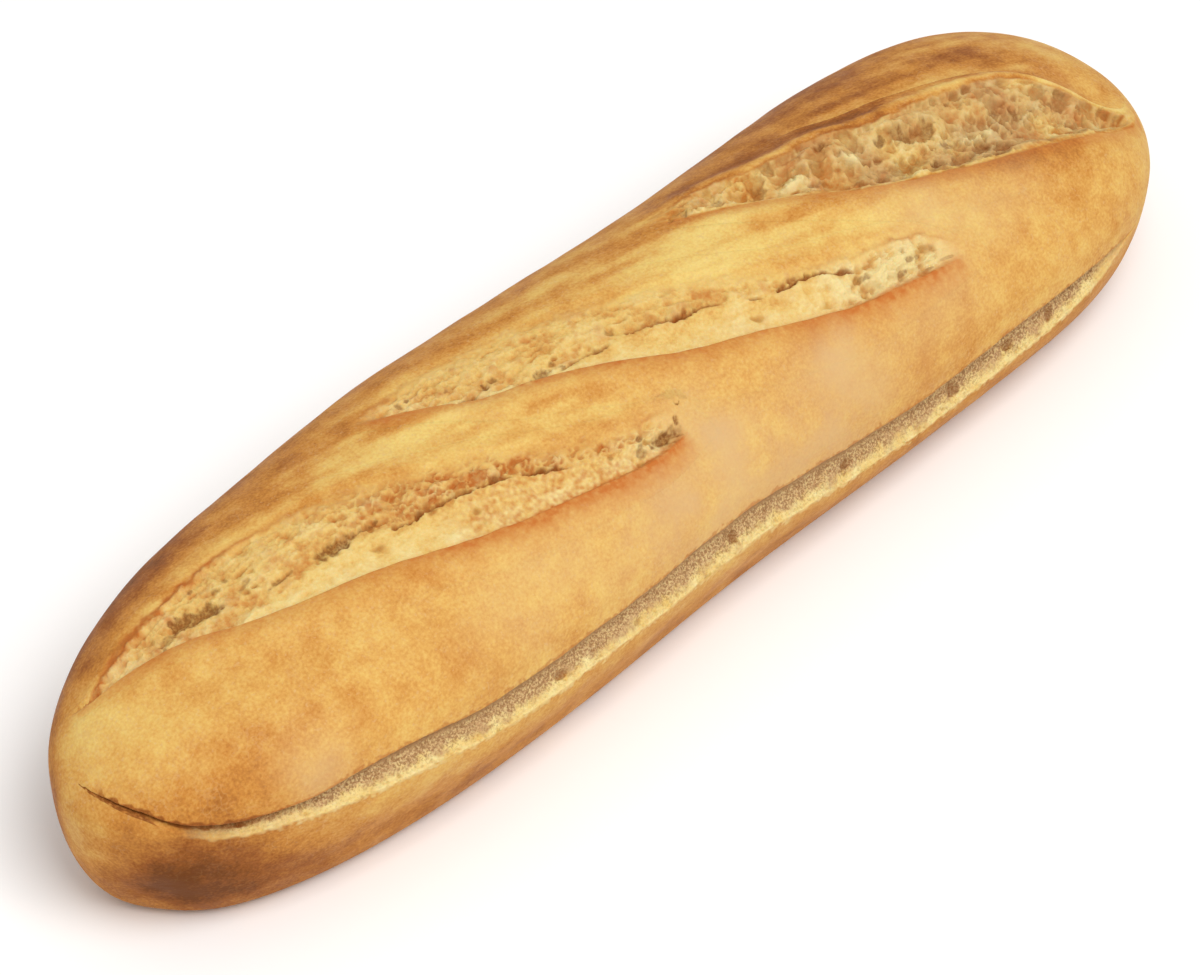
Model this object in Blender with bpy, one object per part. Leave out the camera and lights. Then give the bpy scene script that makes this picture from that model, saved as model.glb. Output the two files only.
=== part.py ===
"""A short scored loaf of golden bread: one solid, in metres, +Z up.

The loaf lies along X on its flat underside, with the origin under the middle of its box. Its near long
side faces -Y. Three slanting slashes cross the top from the far side to the near one, each with a lip
of crust in front and a craggy bed of crumb behind it, and a long split opens the near side below them.
"""

import math

import bmesh
import bpy
import numpy as np
from mathutils import Vector, noise

MM = 0.001

# ---------------------------------------------------------------- driving dimensions, in millimetres
LENGTH = 280.0
DOME_HEIGHT = 51.5  # the plain dome's; the crust swells a little above it between the slashes
HALF = LENGTH / 2

# The outline in plan: how far each long side stands from the middle line, at evenly spaced stations
# from the left end to the right one, before the ends close.
STATIONS = np.linspace(-HALF, HALF, 9)
NEAR_SIDE = (33.0, 34.0, 34.5, 34.5, 34.0, 35.0, 36.0, 37.5, 37.0)
FAR_SIDE = (36.0, 37.0, 37.0, 37.0, 36.0, 34.2, 35.0, 36.5, 38.5)
WAIST = (28.0, 31.0, 30.5, 29.5, 28.0, 26.0, 25.0, 24.0, 22.0)  # height of the widest line

# How full each end is, left and right: a higher power makes a blunter end.
END_POWER_PLAN = (4.0, 6.6)
END_POWER_TOP = (4.0, 2.8)
DOME_POWER = 2.1  # the arch of the cross-section above the widest line
UNDER_ROUNDING = 13.0  # how far the round of the underside runs in from the widest line

# The slashes. Each lip is a line in plan; the bed of crumb lies behind it, towards +Y, and is as wide
# as the second line says. Depth is the bed's below the crust, and tear the crack's along its middle.
SLASHES = (
    dict(
        lip=((-134, 13.2), (-125, 12), (-109, 5.8), (-93, -3), (-76, -9.1), (-54, -17.2), (-32, -22),
             (-8, -24.5)),
        width=((-134, 0.5), (-119, 5.5), (-106, 12), (-90, 18), (-62, 20), (-42, 14), (-28, 8.5), (-8, 4)),
        depth=2.4,
        tear=2.6,
        far_wall=0.0,
        shoulder=1.3,
    ),
    dict(
        lip=((-51, 20.7), (-42, 14.3), (-33, 6.8), (-23, 2.5), (-11, -3.7), (1, -11), (18, -17.7),
             (38, -24.2), (67, -27.9)),
        width=((-51, 1.0), (-42, 7), (-34, 12), (-12, 18), (7, 19), (21, 15), (45, 9), (67, 3)),
        depth=2.2,
        tear=2.4,
        far_wall=0.0,
        shoulder=1.3,
    ),
    dict(
        lip=((29, 15.6), (37, 7.6), (50, -1.6), (61, -7), (74, -13), (85, -16.2), (101, -19.8), (126, -18.8)),
        width=((29, 0.5), (41, 11), (53, 14), (77, 18.5), (94, 19), (110, 13.5), (126, 4.5)),
        depth=5.0,
        tear=0.0,
        far_wall=0.8,
        shoulder=1.0,
    ),
)
SLASH_RUN_OUT = (0.14, 0.88)  # the shares of a slash's length at which it is at its full depth
BED_LIP_SHARE = 0.75  # the bed's depth right behind the lip, as a share of its full depth
BED_RISE_FROM = 0.45  # the share of the width from which a shallow bed rises to the crust behind it
CRACK_PLACE, CRACK_WIDTH = 0.42, 0.09  # the crack's middle and half width, as shares of the bed's width
SKIN_STEP = 0.5  # how far a shallow bed ends above the crust behind it
FLAP_STEP = 1.5  # how far a slash's cutter rises above the crust where it runs out
CUTTER_RISE = 9.0

# The crust swells in front of each lip, and into a rim, the ear, behind the deepest slash.
SWELL_FADE_OUT, SWELL_FADE_IN = 6.0, 22.0  # how far past a slash's end it starts, and before it is full
SHOULDER_PLACE, SHOULDER_WIDTH = -4.0, 4.5  # in front of the lip, and how wide
EAR_RISE, EAR_PLACE, EAR_WIDTH = 0.8, 3.0, 3.0  # above the crust, behind the bed, and how wide

# The split in the near side. Its upper edge is a line of height along the loaf.
SPLIT_HEIGHT = ((-139, 34.8), (-131.5, 32.1), (-127, 31), (-121, 30.4), (-112, 30.3), (-104, 31.2),
                (-96, 31.8), (-88, 31.5), (-78, 29.9), (-68, 28.9), (-55, 28.4), (-10, 28.1), (2, 27.3),
                (14, 25.8), (28, 23.9), (42, 22.4), (54, 22), (80, 22.8), (92, 22.6), (104, 21.4), (118, 19))
SPLIT_MOUTH = ((-139, 0.8), (-133, 1.0), (-126, 2.3), (-112, 2.8), (-104, 4.2), (-95, 5.2), (-80, 5.7),
               (-50, 6.2), (50, 6.2), (95, 5.0), (118, 1.4))
SPLIT_DEPTH = 3.4
SPLIT_END_DEPTH = 2.4  # its depth where it runs out at either end
SPLIT_THROAT = 2.4  # the height of the split at its bottom
SPLIT_FAR_START = 5.0  # how far round the left end, towards +Y, the split begins
SPLIT_END = 118.0
SPLIT_OUTSIDE = 6.0  # how far the split's cutter stands out of the crust
HEADING_SPAN = 1.5  # the run to either side over which the way in is measured

# The lower crust stands out beyond the upper one below the split.
LEDGE = 1.6
LEDGE_FROM, LEDGE_TO = (1.0, 4.0), (12.0, 24.0)  # where it begins and fades, below the widest line
LEDGE_START, LEDGE_END = (-128.0, -90.0), (70.0, 118.0)  # and along the loaf

# Soft unevenness: each kind of lump has its size, its share of the height, and its place in the noise.
LUMP_HEIGHT = 0.35
LUMP_KINDS = ((26.0, 1.0, 3.1), (11.0, 0.5, 8.7))
LUMP_DROP = 0.4  # how far below the plain dome their middle lies, as a share of their height
CRAG_HEIGHT = 0.55
CRAG_KINDS = ((5.0, 1.0, 21.0), (2.6, 0.6, 5.0))

# The mesh: cuts along the loaf, across its top and up its sides.
CUTS_ALONG, CUTS_ACROSS, CUTS_UP = 52, 15, 7
SLASH_CUTS = (44, 9, 0)
SPLIT_CUTS = (70, 3, 1)
END_OPENING = 0.55  # the share of the full width at which the end caps begin
SIDE_ANGLES = (-38.0, 20.0)  # where the sides begin and end round the section, in degrees
UNDER_TURN = 0.5  # the cosine of the angle at which the round of the underside ends
TIP_STEP, TIP_GROWTH, TIP_STEPS = 0.02, 1.16, 60  # ever wider steps along the outline from the left tip
TIP_END = -60.0
SHARP_ANGLE = 35.0
TINY = 1e-6

CRUST_COLOUR = (0.78, 0.45, 0.16, 1.0)


# ---------------------------------------------------------------- smooth lines through a few points
def through(points, at):
    """The value at each place of a smooth line through (place, value) points, level beyond its ends."""
    places = np.array([p[0] for p in points], float)
    values = np.array([p[1] for p in points], float)
    slopes = np.gradient(values, places)
    at = np.asarray(at, float)
    index = np.clip(np.searchsorted(places, at) - 1, 0, len(places) - 2)
    span = places[index + 1] - places[index]
    t = np.clip((at - places[index]) / span, 0, 1)
    return (
        (2 * t**3 - 3 * t**2 + 1) * values[index]
        + (t**3 - 2 * t**2 + t) * span * slopes[index]
        + (-2 * t**3 + 3 * t**2) * values[index + 1]
        + (t**3 - t**2) * span * slopes[index + 1]
    )


def stationed(values, at):
    return through(list(zip(STATIONS, values)), at)


def smooth_step(low, high, value):
    t = np.clip((value - low) / (high - low), 0, 1)
    return t * t * (3 - 2 * t)


def bump(distance, width):
    return np.exp(-((distance / width) ** 2))


# ---------------------------------------------------------------- the loaf's own surface
def closing(x, powers):
    """How far the loaf is open at x: 1 along its middle, and 0 at the tip of either end."""
    power = np.where(x < 0, powers[0], powers[1])
    return np.sqrt(np.maximum(1 - np.abs(x / HALF) ** power, 0))


def plan(x):
    """The middle and the half width of the loaf in plan."""
    near, far = stationed(NEAR_SIDE, x), stationed(FAR_SIDE, x)
    return (far - near) / 2, (far + near) / 2 * closing(x, END_POWER_PLAN)


def top_height(x, y):
    middle, half_width = plan(x)
    waist = stationed(WAIST, x)
    across = np.clip(np.abs(y - middle) / np.maximum(half_width, TINY), 0, 1)
    arch = (1 - across**DOME_POWER) ** (1 / DOME_POWER)
    return waist + (DOME_HEIGHT - waist) * closing(x, END_POWER_TOP) * arch


def under_height(x, y):
    """The underside: flat on the floor, with a quarter round up to the widest line all the way round."""
    near, far = stationed(NEAR_SIDE, x), stationed(FAR_SIDE, x)
    middle, full_width = (far - near) / 2, (far + near) / 2
    power = np.where(x < 0, END_POWER_PLAN[0], END_POWER_PLAN[1])
    along, across = np.abs(x / HALF), (y - middle) / full_width
    inside = 1 - along**power - across**2
    steepness = np.hypot(power * along ** (power - 1) / HALF, 2 * across / full_width)
    run_in = np.clip(inside / np.maximum(steepness, TINY), 0, UNDER_ROUNDING) / UNDER_ROUNDING
    return stationed(WAIST, x) * (1 - np.sqrt(np.maximum(1 - (1 - run_in) ** 2, 0)))


def uneven(x, y, z, kinds):
    """The height of the lumps at each place, from -1 to 1 for the first kind."""
    return np.array([
        sum(
            share * noise.noise(Vector(point) / size + Vector((shift, 0, 0)))
            for size, share, shift in kinds
        )
        for point in zip(x, y, z)
    ])


def swelling(x, y):
    """How far the crust stands above the plain dome beside the slashes."""
    rise = np.zeros_like(x)
    for slash in SLASHES:
        start, end = slash["lip"][0][0], slash["lip"][-1][0]
        along = smooth_step(start - SWELL_FADE_OUT, start + SWELL_FADE_IN, x)
        along *= 1 - smooth_step(end - SWELL_FADE_IN, end + SWELL_FADE_OUT, x)
        behind = y - through(slash["lip"], x)
        rise += slash["shoulder"] * along * bump(behind - SHOULDER_PLACE, SHOULDER_WIDTH)
        if slash["far_wall"]:
            past = behind - through(slash["width"], x)
            rise += EAR_RISE * along * bump(past - EAR_PLACE, EAR_WIDTH)
    return rise


# ---------------------------------------------------------------- meshes that start as a block
def block(cuts):
    """A cube from -1 to 1 with this many cuts along X, Y and Z."""
    made = bmesh.new()
    bmesh.ops.create_cube(made, size=2)
    for axis, count in enumerate(cuts):
        edges = [e for e in made.edges if abs((e.verts[0].co - e.verts[1].co)[axis]) > TINY]
        if count:
            bmesh.ops.subdivide_edges(made, edges=edges, cuts=count, use_grid_fill=True)
    return made


def place(made, points):
    """Moves each vertex to its row of points, in millimetres, and splits each face the short way."""
    for vertex, point in zip(made.verts, points):
        vertex.co = Vector(point) * MM
    bmesh.ops.triangulate(made, faces=made.faces, quad_method="SHORT_EDGE")
    bmesh.ops.recalc_face_normals(made, faces=made.faces)


def corners(made):
    return np.array([vertex.co for vertex in made.verts], float).T


def as_object(made, name, material=None):
    mesh = bpy.data.meshes.new(name)
    made.to_mesh(mesh)
    made.free()
    if material:
        mesh.materials.append(material)
    made_object = bpy.data.objects.new(name, mesh)
    bpy.context.scene.collection.objects.link(made_object)
    return made_object


# ---------------------------------------------------------------- the loaf before it is cut
def loaf_points(made):
    """Where each vertex of the block lies on the loaf."""
    bx, by, bz = corners(made)
    ring = np.maximum(np.abs(by), np.abs(bz))
    ring_safe = np.maximum(ring, TINY)
    across, up = by / ring_safe, bz / ring_safe

    # Along the loaf: the block's sides run between the end caps, and its ends close them.
    power = np.where(bx < 0, END_POWER_PLAN[0], END_POWER_PLAN[1])
    open_share = END_OPENING * ring
    on_cap = np.abs(bx) > 1 - TINY
    cap_x = HALF * (1 - open_share**2) ** (1 / power)
    side_x = np.abs(bx) * HALF * (1 - END_OPENING**2) ** (1 / power)
    x = np.sign(bx) * np.where(on_cap, cap_x, side_x)

    # Round the section: the angle is 0 at the far side, 90 on top and -90 beneath.
    low, high = SIDE_ANGLES
    side_angle = low + (high - low) * (up + 1) / 2
    top_angle = 90 - across * (90 - high)
    under_angle = -90 + across * (90 + low)
    on_side = np.abs(across) >= np.abs(up)
    angle = np.where(
        on_side,
        np.where(across > 0, side_angle, 180 - side_angle),
        np.where(up > 0, top_angle, under_angle),
    )
    cosine, sine = np.cos(np.radians(angle)), np.sin(np.radians(angle))
    middle, half_width = plan(x)
    rounding = np.minimum(UNDER_ROUNDING, half_width)
    turned = np.clip((1 - np.abs(cosine)) / (1 - UNDER_TURN), 0, 1) * math.pi / 2
    above = half_width * np.abs(cosine) ** (2 / DOME_POWER)
    below = np.where(
        np.abs(cosine) > UNDER_TURN,
        half_width - rounding * (1 - np.cos(turned)),
        (half_width - rounding) * np.abs(cosine) / UNDER_TURN,
    )
    y = middle + np.sign(cosine) * np.where(sine >= 0, above, below)
    z = np.where(sine >= 0, top_height(x, y), under_height(x, y))
    z = np.where(ring < TINY, stationed(WAIST, x), z)

    # The crust swells beside the slashes, and is a little uneven everywhere but beneath.
    upper = smooth_step(0.0, 0.5, sine)
    z = z + upper * swelling(x, y)
    z = z + upper * LUMP_HEIGHT * (uneven(x, y, z, LUMP_KINDS) - LUMP_DROP)

    # The lower crust stands out below the split.
    waist = stationed(WAIST, x)
    below_split = smooth_step(*LEDGE_FROM, waist - z) * (1 - smooth_step(*LEDGE_TO, waist - z))
    near = smooth_step(0.2, 0.9, (middle - y) / np.maximum(half_width, TINY))
    along = smooth_step(*LEDGE_START, x) * (1 - smooth_step(*LEDGE_END, x))
    y = y - LEDGE * below_split * near * along
    return np.stack([x, y, z], axis=1)


# ---------------------------------------------------------------- what is cut out of it
def slash_cutter(slash, name):
    """The space inside a slash: its floor is the crumb bed, and its top is clear of the crust."""
    made = block(SLASH_CUTS)
    bx, by, bz = corners(made)
    start, end = slash["lip"][0][0], slash["lip"][-1][0]
    share = (bx + 1) / 2
    x = start + (end - start) * share
    back = (by + 1) / 2
    y = through(slash["lip"], x) + back * through(slash["width"], x)
    run_out = smooth_step(0, SLASH_RUN_OUT[0], share) * (1 - smooth_step(SLASH_RUN_OUT[1], 1, share))
    far = slash["far_wall"]
    bed = BED_LIP_SHARE + (1 - BED_LIP_SHARE) * smooth_step(0, 1 - BED_LIP_SHARE, back)
    bed -= (1 - far) * smooth_step(BED_RISE_FROM, 1.0, back)
    crack = slash["tear"] * bump(back - CRACK_PLACE, CRACK_WIDTH)
    crags = CRAG_HEIGHT * uneven(x, y, np.zeros_like(x), CRAG_KINDS)
    crags *= (1 + far) * (1 - (1 - far) * smooth_step(0.6, 0.95, back))
    depth = run_out * (slash["depth"] * bed + crack + crags) - FLAP_STEP * (1 - run_out)
    depth -= SKIN_STEP * (1 - far) * smooth_step(0.85, 1.0, back)
    surface = top_height(x, y) + swelling(x, y)
    z = np.where(bz < 0, surface - depth, surface + CUTTER_RISE)
    place(made, np.stack([x, y, z], axis=1))
    return as_object(made, name)


def split_cutter():
    """The wedge of air in the near side, from the left end to near the right one."""
    made = block(SPLIT_CUTS)
    bx, by, bz = corners(made)

    # The line in plan that the split follows: the outline, from just past the left tip to the right.
    near_tip = -HALF + TIP_STEP * TIP_GROWTH ** np.arange(TIP_STEPS)
    beyond = np.linspace(TIP_END, SPLIT_END, TIP_STEPS)
    outline_x = np.concatenate([[-HALF], near_tip[near_tip < TIP_END], beyond])
    middle, half_width = plan(outline_x)
    near_line = np.stack([outline_x, middle - half_width], axis=1)
    tip = outline_x < -HALF * 0.9
    far_line = np.stack([outline_x, middle + half_width], axis=1)[tip][::-1]
    far_line = far_line[far_line[:, 1] < SPLIT_FAR_START]
    line = np.concatenate([far_line, near_line])
    steps = np.hypot(*np.diff(line, axis=0).T)
    line = line[np.concatenate([[True], steps > TINY])]
    run = np.concatenate([[0], np.cumsum(np.hypot(*np.diff(line, axis=0).T))])
    at = (bx + 1) / 2 * run[-1]
    x, y = np.interp(at, run, line[:, 0]), np.interp(at, run, line[:, 1])
    ahead = np.stack([np.interp(at + HEADING_SPAN, run, line[:, k]) for k in (0, 1)])
    behind = np.stack([np.interp(at - HEADING_SPAN, run, line[:, k]) for k in (0, 1)])
    heading = (ahead - behind) / np.maximum(np.hypot(*(ahead - behind)), TINY)
    inward = np.stack([-heading[1], heading[0]])

    # Depth runs from outside the crust to the bottom of the split, and the mouth narrows with it.
    taper = smooth_step(0, 0.06, (bx + 1) / 2) * (1 - smooth_step(0.9, 1, (bx + 1) / 2))
    reach_in = SPLIT_END_DEPTH + (SPLIT_DEPTH - SPLIT_END_DEPTH) * taper
    depth = -SPLIT_OUTSIDE + (by + 1) / 2 * (reach_in + SPLIT_OUTSIDE)
    mouth = through(SPLIT_MOUTH, x)
    share = np.clip(depth / reach_in, 0, 1)
    gap = mouth * (1 - share) + np.minimum(SPLIT_THROAT, mouth) * share
    z = through(SPLIT_HEIGHT, x) - gap * (1 - bz) / 2
    place(made, np.stack([x + inward[0] * depth, y + inward[1] * depth, z], axis=1))
    return as_object(made, "split_cutter")


# ---------------------------------------------------------------- material and assembly
def crust_material():
    made = bpy.data.materials.new("golden crust")
    made.use_nodes = True
    shader = made.node_tree.nodes["Principled BSDF"]
    shader.inputs["Base Color"].default_value = CRUST_COLOUR
    shader.inputs["Roughness"].default_value = 0.62
    shader.inputs["Metallic"].default_value = 0.0
    return made


def cut(solid, cutters):
    """Cuts each cutter out of the solid in turn, and leaves the result as a plain mesh."""
    for cutter in cutters:
        modifier = solid.modifiers.new(cutter.name, "BOOLEAN")
        modifier.operation = "DIFFERENCE"
        modifier.object = cutter
    bpy.context.view_layer.update()
    evaluated = solid.evaluated_get(bpy.context.evaluated_depsgraph_get())
    mesh = bpy.data.meshes.new_from_object(evaluated)
    solid.modifiers.clear()
    solid.data = mesh
    for cutter in cutters:
        bpy.data.objects.remove(cutter, do_unlink=True)


def main():
    for old in list(bpy.data.objects):
        bpy.data.objects.remove(old, do_unlink=True)
    made = block((CUTS_ALONG, CUTS_ACROSS, CUTS_UP))
    place(made, loaf_points(made))
    loaf = as_object(made, "loaf", crust_material())
    cutters = [slash_cutter(slash, f"slash_cutter_{k + 1}") for k, slash in enumerate(SLASHES)]
    cut(loaf, cutters + [split_cutter()])
    loaf.data.shade_smooth()
    loaf.data.set_sharp_from_angle(angle=math.radians(SHARP_ANGLE))


main()
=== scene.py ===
"""A short scored loaf of golden bread, dressed for its picture.

The loaf lies along X on its flat underside, and its near long side faces -Y. One closed crust carries four
finely modelled closed pieces: the three slashes across its top, with their torn crumb, and the long split in
its near side. All sizes here are in millimetres until a mesh is placed.
"""

import itertools
import logging
import math
from dataclasses import dataclass
from enum import Enum, IntEnum
from functools import cached_property

import bmesh
import bpy
import numpy as np
from mathutils import Matrix, Vector


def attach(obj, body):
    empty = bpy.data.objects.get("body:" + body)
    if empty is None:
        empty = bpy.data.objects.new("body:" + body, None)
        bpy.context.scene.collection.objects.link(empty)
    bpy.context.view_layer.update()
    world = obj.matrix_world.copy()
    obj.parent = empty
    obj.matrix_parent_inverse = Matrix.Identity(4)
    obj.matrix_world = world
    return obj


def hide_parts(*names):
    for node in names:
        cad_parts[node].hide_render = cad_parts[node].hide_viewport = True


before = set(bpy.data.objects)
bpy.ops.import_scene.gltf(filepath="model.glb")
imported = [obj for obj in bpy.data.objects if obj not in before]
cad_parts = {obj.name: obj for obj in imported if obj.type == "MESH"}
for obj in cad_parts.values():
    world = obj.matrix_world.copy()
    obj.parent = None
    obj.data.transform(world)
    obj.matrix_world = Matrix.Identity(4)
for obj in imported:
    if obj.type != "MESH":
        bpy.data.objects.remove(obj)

LOG = logging.getLogger("loaf")
MM = 0.001  # a millimetre in metres
WELD_REACH = 2e-6  # in metres: vertices nearer than this are one
LAP = 0.05  # how far a set-in piece laps over the crust along its border
BORDER_DIP = 0.14  # how far its border itself lies below the crust
TINY = 1e-6  # what stands in for 0 where something is divided by it
Pairs = tuple[tuple[float, float], ...]
Shade = tuple[int, int, int]
Ramp = tuple[tuple[float, Shade], ...]
Socket = bpy.types.NodeSocket
Inputs = dict[str | int, object]


# ---------------- lines and noise
def smooth_step(low: float, high: float, value: np.ndarray) -> np.ndarray:
    """Rises smoothly from 0 at low to 1 at high.

    Args:
        low: where the rise begins.
        high: where it ends.
        value: the places to read it at.

    Returns:
        The share risen at each place.
    """
    share = np.clip((value - low) / (high - low), 0, 1)
    return share * share * (3 - 2 * share)


@dataclass(frozen=True)
class Line:
    """A smooth line through a few (place, value) points, level beyond its ends."""

    points: Pairs

    def share(self, place: np.ndarray) -> np.ndarray:
        """The line's value at each place, kept between 0 and 1."""
        return np.clip(self.at(place), 0, 1)

    def at(self, place: np.ndarray) -> np.ndarray:
        """The line's value at each place.

        Args:
            place: where to read the line.

        Returns:
            One value for each place.
        """
        places = np.array([p[0] for p in self.points], float)
        values = np.array([p[1] for p in self.points], float)
        slopes = np.gradient(values, places)
        place = np.asarray(place, float)
        index = np.clip(np.searchsorted(places, place) - 1, 0, len(places) - 2)
        span = places[index + 1] - places[index]
        t = np.clip((place - places[index]) / span, 0, 1)
        return (
            (2 * t**3 - 3 * t**2 + 1) * values[index]
            + (t**3 - 2 * t**2 + t) * span * slopes[index]
            + (-2 * t**3 + 3 * t**2) * values[index + 1]
            + (t**3 - t**2) * span * slopes[index + 1]
        )


NOWHERE = Line(((0.0, 0.0), (1.0, 0.0)))


def hashed(cell: np.ndarray, seed: int) -> np.ndarray:
    """A steady random share from 0 to 1 for each whole-numbered cell.

    Args:
        cell: whole numbers, three to a row.
        seed: another seed gives other numbers.

    Returns:
        One number for each row.
    """
    mask = np.int64(0xFFFFFFFF)
    mixed = (cell[:, 0] * 73856093) ^ (cell[:, 1] * 19349663) ^ (cell[:, 2] * 83492791) ^ (seed * 40503)
    mixed = mixed & mask
    for _ in range(2):
        mixed = ((mixed ^ (mixed >> 15)) * 73244475) & mask
    return (mixed ^ (mixed >> 16)) / float(mask)


def cloud(points: np.ndarray, size: float, seed: int) -> np.ndarray:
    """Soft solid noise from about -1 to 1.

    Args:
        points: places in millimetres, three to a row.
        size: how large its lumps are.
        seed: another seed gives other lumps.

    Returns:
        One value for each place.
    """
    scaled = points / size
    base = np.floor(scaled).astype(np.int64)
    part = scaled - base
    fade = part**3 * (part * (part * 6 - 15) + 10)
    total = np.zeros(len(points))
    for corner in itertools.product((0, 1), repeat=3):
        step = np.array(corner)
        pull = sum((part[:, k] - step[k]) * (hashed(base + step, seed + 11 * k) * 2 - 1) for k in range(3))
        total += np.where(step, fade, 1 - fade).prod(axis=1) * pull
    return total * 1.5


def cells(points: np.ndarray, size: float, seed: int) -> tuple[np.ndarray, np.ndarray, np.ndarray]:
    """Solid bubbles: how far each place is from its nearest and second nearest bubble's middle.

    Args:
        points: places in millimetres, three to a row.
        size: how large the bubbles are.
        seed: another seed gives other bubbles.

    Returns:
        The nearest distance and the second nearest, in bubble sizes, and a random share for each bubble.
    """
    scaled = points / size
    base = np.floor(scaled).astype(np.int64)
    first = np.full(len(points), 9.0)
    second = np.full(len(points), 9.0)
    tag = np.zeros(len(points))
    for corner in itertools.product((-1, 0, 1), repeat=3):
        cell = base + np.array(corner)
        middle = np.stack([cell[:, k] + 0.1 + 0.8 * hashed(cell, seed + 5 * k) for k in range(3)], axis=1)
        far = np.sqrt(((scaled - middle) ** 2).sum(axis=1))
        nearer = far < first
        second = np.where(nearer, first, np.minimum(second, far))
        tag = np.where(nearer, hashed(cell, seed + 77), tag)
        first = np.where(nearer, far, first)
    return first, second, tag


def gauss(value: np.ndarray, width: float) -> np.ndarray:
    """A bell as high as 1 at 0, with this width."""
    return np.exp(-((value / width) ** 2))


def unit(vectors: np.ndarray) -> np.ndarray:
    """The same vectors with a length of 1."""
    return vectors / np.maximum(np.linalg.norm(vectors, axis=-1, keepdims=True), TINY)


# ---------------- mesh helpers
def block(name: str, cuts: tuple[int, int, int]) -> bpy.types.Mesh:
    """A cube from -1 to 1 with this many cuts along X, Y and Z.

    Args:
        name: the mesh's name.
        cuts: how many cuts each axis gets.

    Returns:
        The mesh.
    """
    made = bmesh.new()
    bmesh.ops.create_cube(made, size=2)
    for axis, count in enumerate(cuts):
        edges = [e for e in made.edges if abs((e.verts[0].co - e.verts[1].co)[axis]) > TINY]
        bmesh.ops.subdivide_edges(made, edges=edges, cuts=count, use_grid_fill=True)
    return as_mesh(made, name)


def tube(name: str, rings: int, sides: int) -> tuple[bpy.types.Mesh, np.ndarray, np.ndarray]:
    """A closed tube of rings.

    Args:
        name: the mesh's name.
        rings: how many rings it has along it, with both ends.
        sides: how many points each ring has.

    Returns:
        The mesh, each vertex's ring and its place in the ring.
    """
    made = bmesh.new()
    bmesh.ops.create_cone(made, cap_ends=True, cap_tris=False, segments=sides, radius1=1, radius2=1, depth=2)
    along = [e for e in made.edges if abs(e.verts[0].co.z - e.verts[1].co.z) > 1]
    bmesh.ops.subdivide_edges(made, edges=along, cuts=rings - 2, use_grid_fill=True)
    mesh = as_mesh(made, name)
    at = corners(mesh)
    ring = np.rint((at[:, 2] + 1) / 2 * (rings - 1)).astype(int)
    side = np.rint(np.arctan2(at[:, 0], at[:, 1]) / (2 * math.pi) * sides).astype(int) % sides
    return mesh, ring, side


def as_mesh(made: bmesh.types.BMesh, name: str) -> bpy.types.Mesh:
    """Turns a bmesh into a mesh, and frees it.

    Args:
        made: the bmesh.
        name: the mesh's name.

    Returns:
        The mesh.
    """
    mesh = bpy.data.meshes.new(name)
    made.to_mesh(mesh)
    made.free()
    return mesh


def corners(mesh: bpy.types.Mesh) -> np.ndarray:
    """The mesh's vertices, three numbers to a row.

    Args:
        mesh: the mesh.

    Returns:
        Its vertices.
    """
    flat = np.empty(len(mesh.vertices) * 3)
    mesh.vertices.foreach_get("co", flat)
    return flat.reshape(-1, 3)


def place(mesh: bpy.types.Mesh, points: np.ndarray) -> None:
    """Moves each vertex to its row of points, in millimetres, with the faces turned outwards.

    Args:
        mesh: the mesh to shape.
        points: one row for each vertex.
    """
    mesh.vertices.foreach_set("co", (points * MM).ravel())
    mesh.update()
    made = bmesh.new()
    made.from_mesh(mesh)
    bmesh.ops.recalc_face_normals(made, faces=made.faces)
    made.to_mesh(mesh)
    made.free()
    mesh.shade_smooth()


def weld(mesh: bpy.types.Mesh) -> None:
    """Merges vertices that lie on one another, and lets the faces of no area between them go.

    Args:
        mesh: the mesh.
    """
    made = bmesh.new()
    made.from_mesh(mesh)
    bmesh.ops.remove_doubles(made, verts=made.verts, dist=WELD_REACH)
    bmesh.ops.dissolve_degenerate(made, edges=made.edges, dist=WELD_REACH)
    made.to_mesh(mesh)
    made.free()


def paint(mesh: bpy.types.Mesh, shares: dict[str, np.ndarray], order: np.ndarray) -> None:
    """Gives each vertex its share of each finish.

    Args:
        mesh: the mesh to paint.
        shares: for each finish's name, one share for each place, kept between 0 and 1.
        order: the place of each vertex.
    """
    for name, values in shares.items():
        layer = mesh.attributes.new(name, "FLOAT", "POINT")
        layer.data.foreach_set("value", np.clip(values, 0, 1)[order].astype(np.float32))


def add_piece(mesh: bpy.types.Mesh, material: bpy.types.Material) -> bpy.types.Object:
    """Puts a finished mesh in the scene as a piece of the loaf.

    Args:
        mesh: the finished mesh.
        material: its material.

    Returns:
        The piece.
    """
    mesh.materials.append(material)
    piece = bpy.data.objects.new(mesh.name, mesh)
    bpy.context.scene.collection.objects.link(piece)
    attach(piece, "root")
    LOG.info("%s: %d faces", mesh.name, len(mesh.polygons))
    return piece


# ---------------- the loaf's own surface
@dataclass(frozen=True)
class Shoulder:
    """How the crust swells beside a slash."""

    lip: Line
    width: Line
    rise: float = 1.3
    ear: float = 0.0

    def at(self, x: np.ndarray, y: np.ndarray) -> np.ndarray:
        """The swelling's height at each place of the plan, in millimetres.

        Args:
            x: places along the loaf.
            y: places across it.

        Returns:
            The height at each place.
        """
        start, end = self.lip.points[0][0], self.lip.points[-1][0]
        along = smooth_step(start - 6, start + 22, x) * (1 - smooth_step(end - 22, end + 6, x))
        behind = y - self.lip.at(x)
        rise = self.rise * gauss(behind + 4.0, 4.5)
        rise += self.ear * gauss(behind - self.width.at(x) - 2.0, 2.4)
        return rise * along


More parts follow.
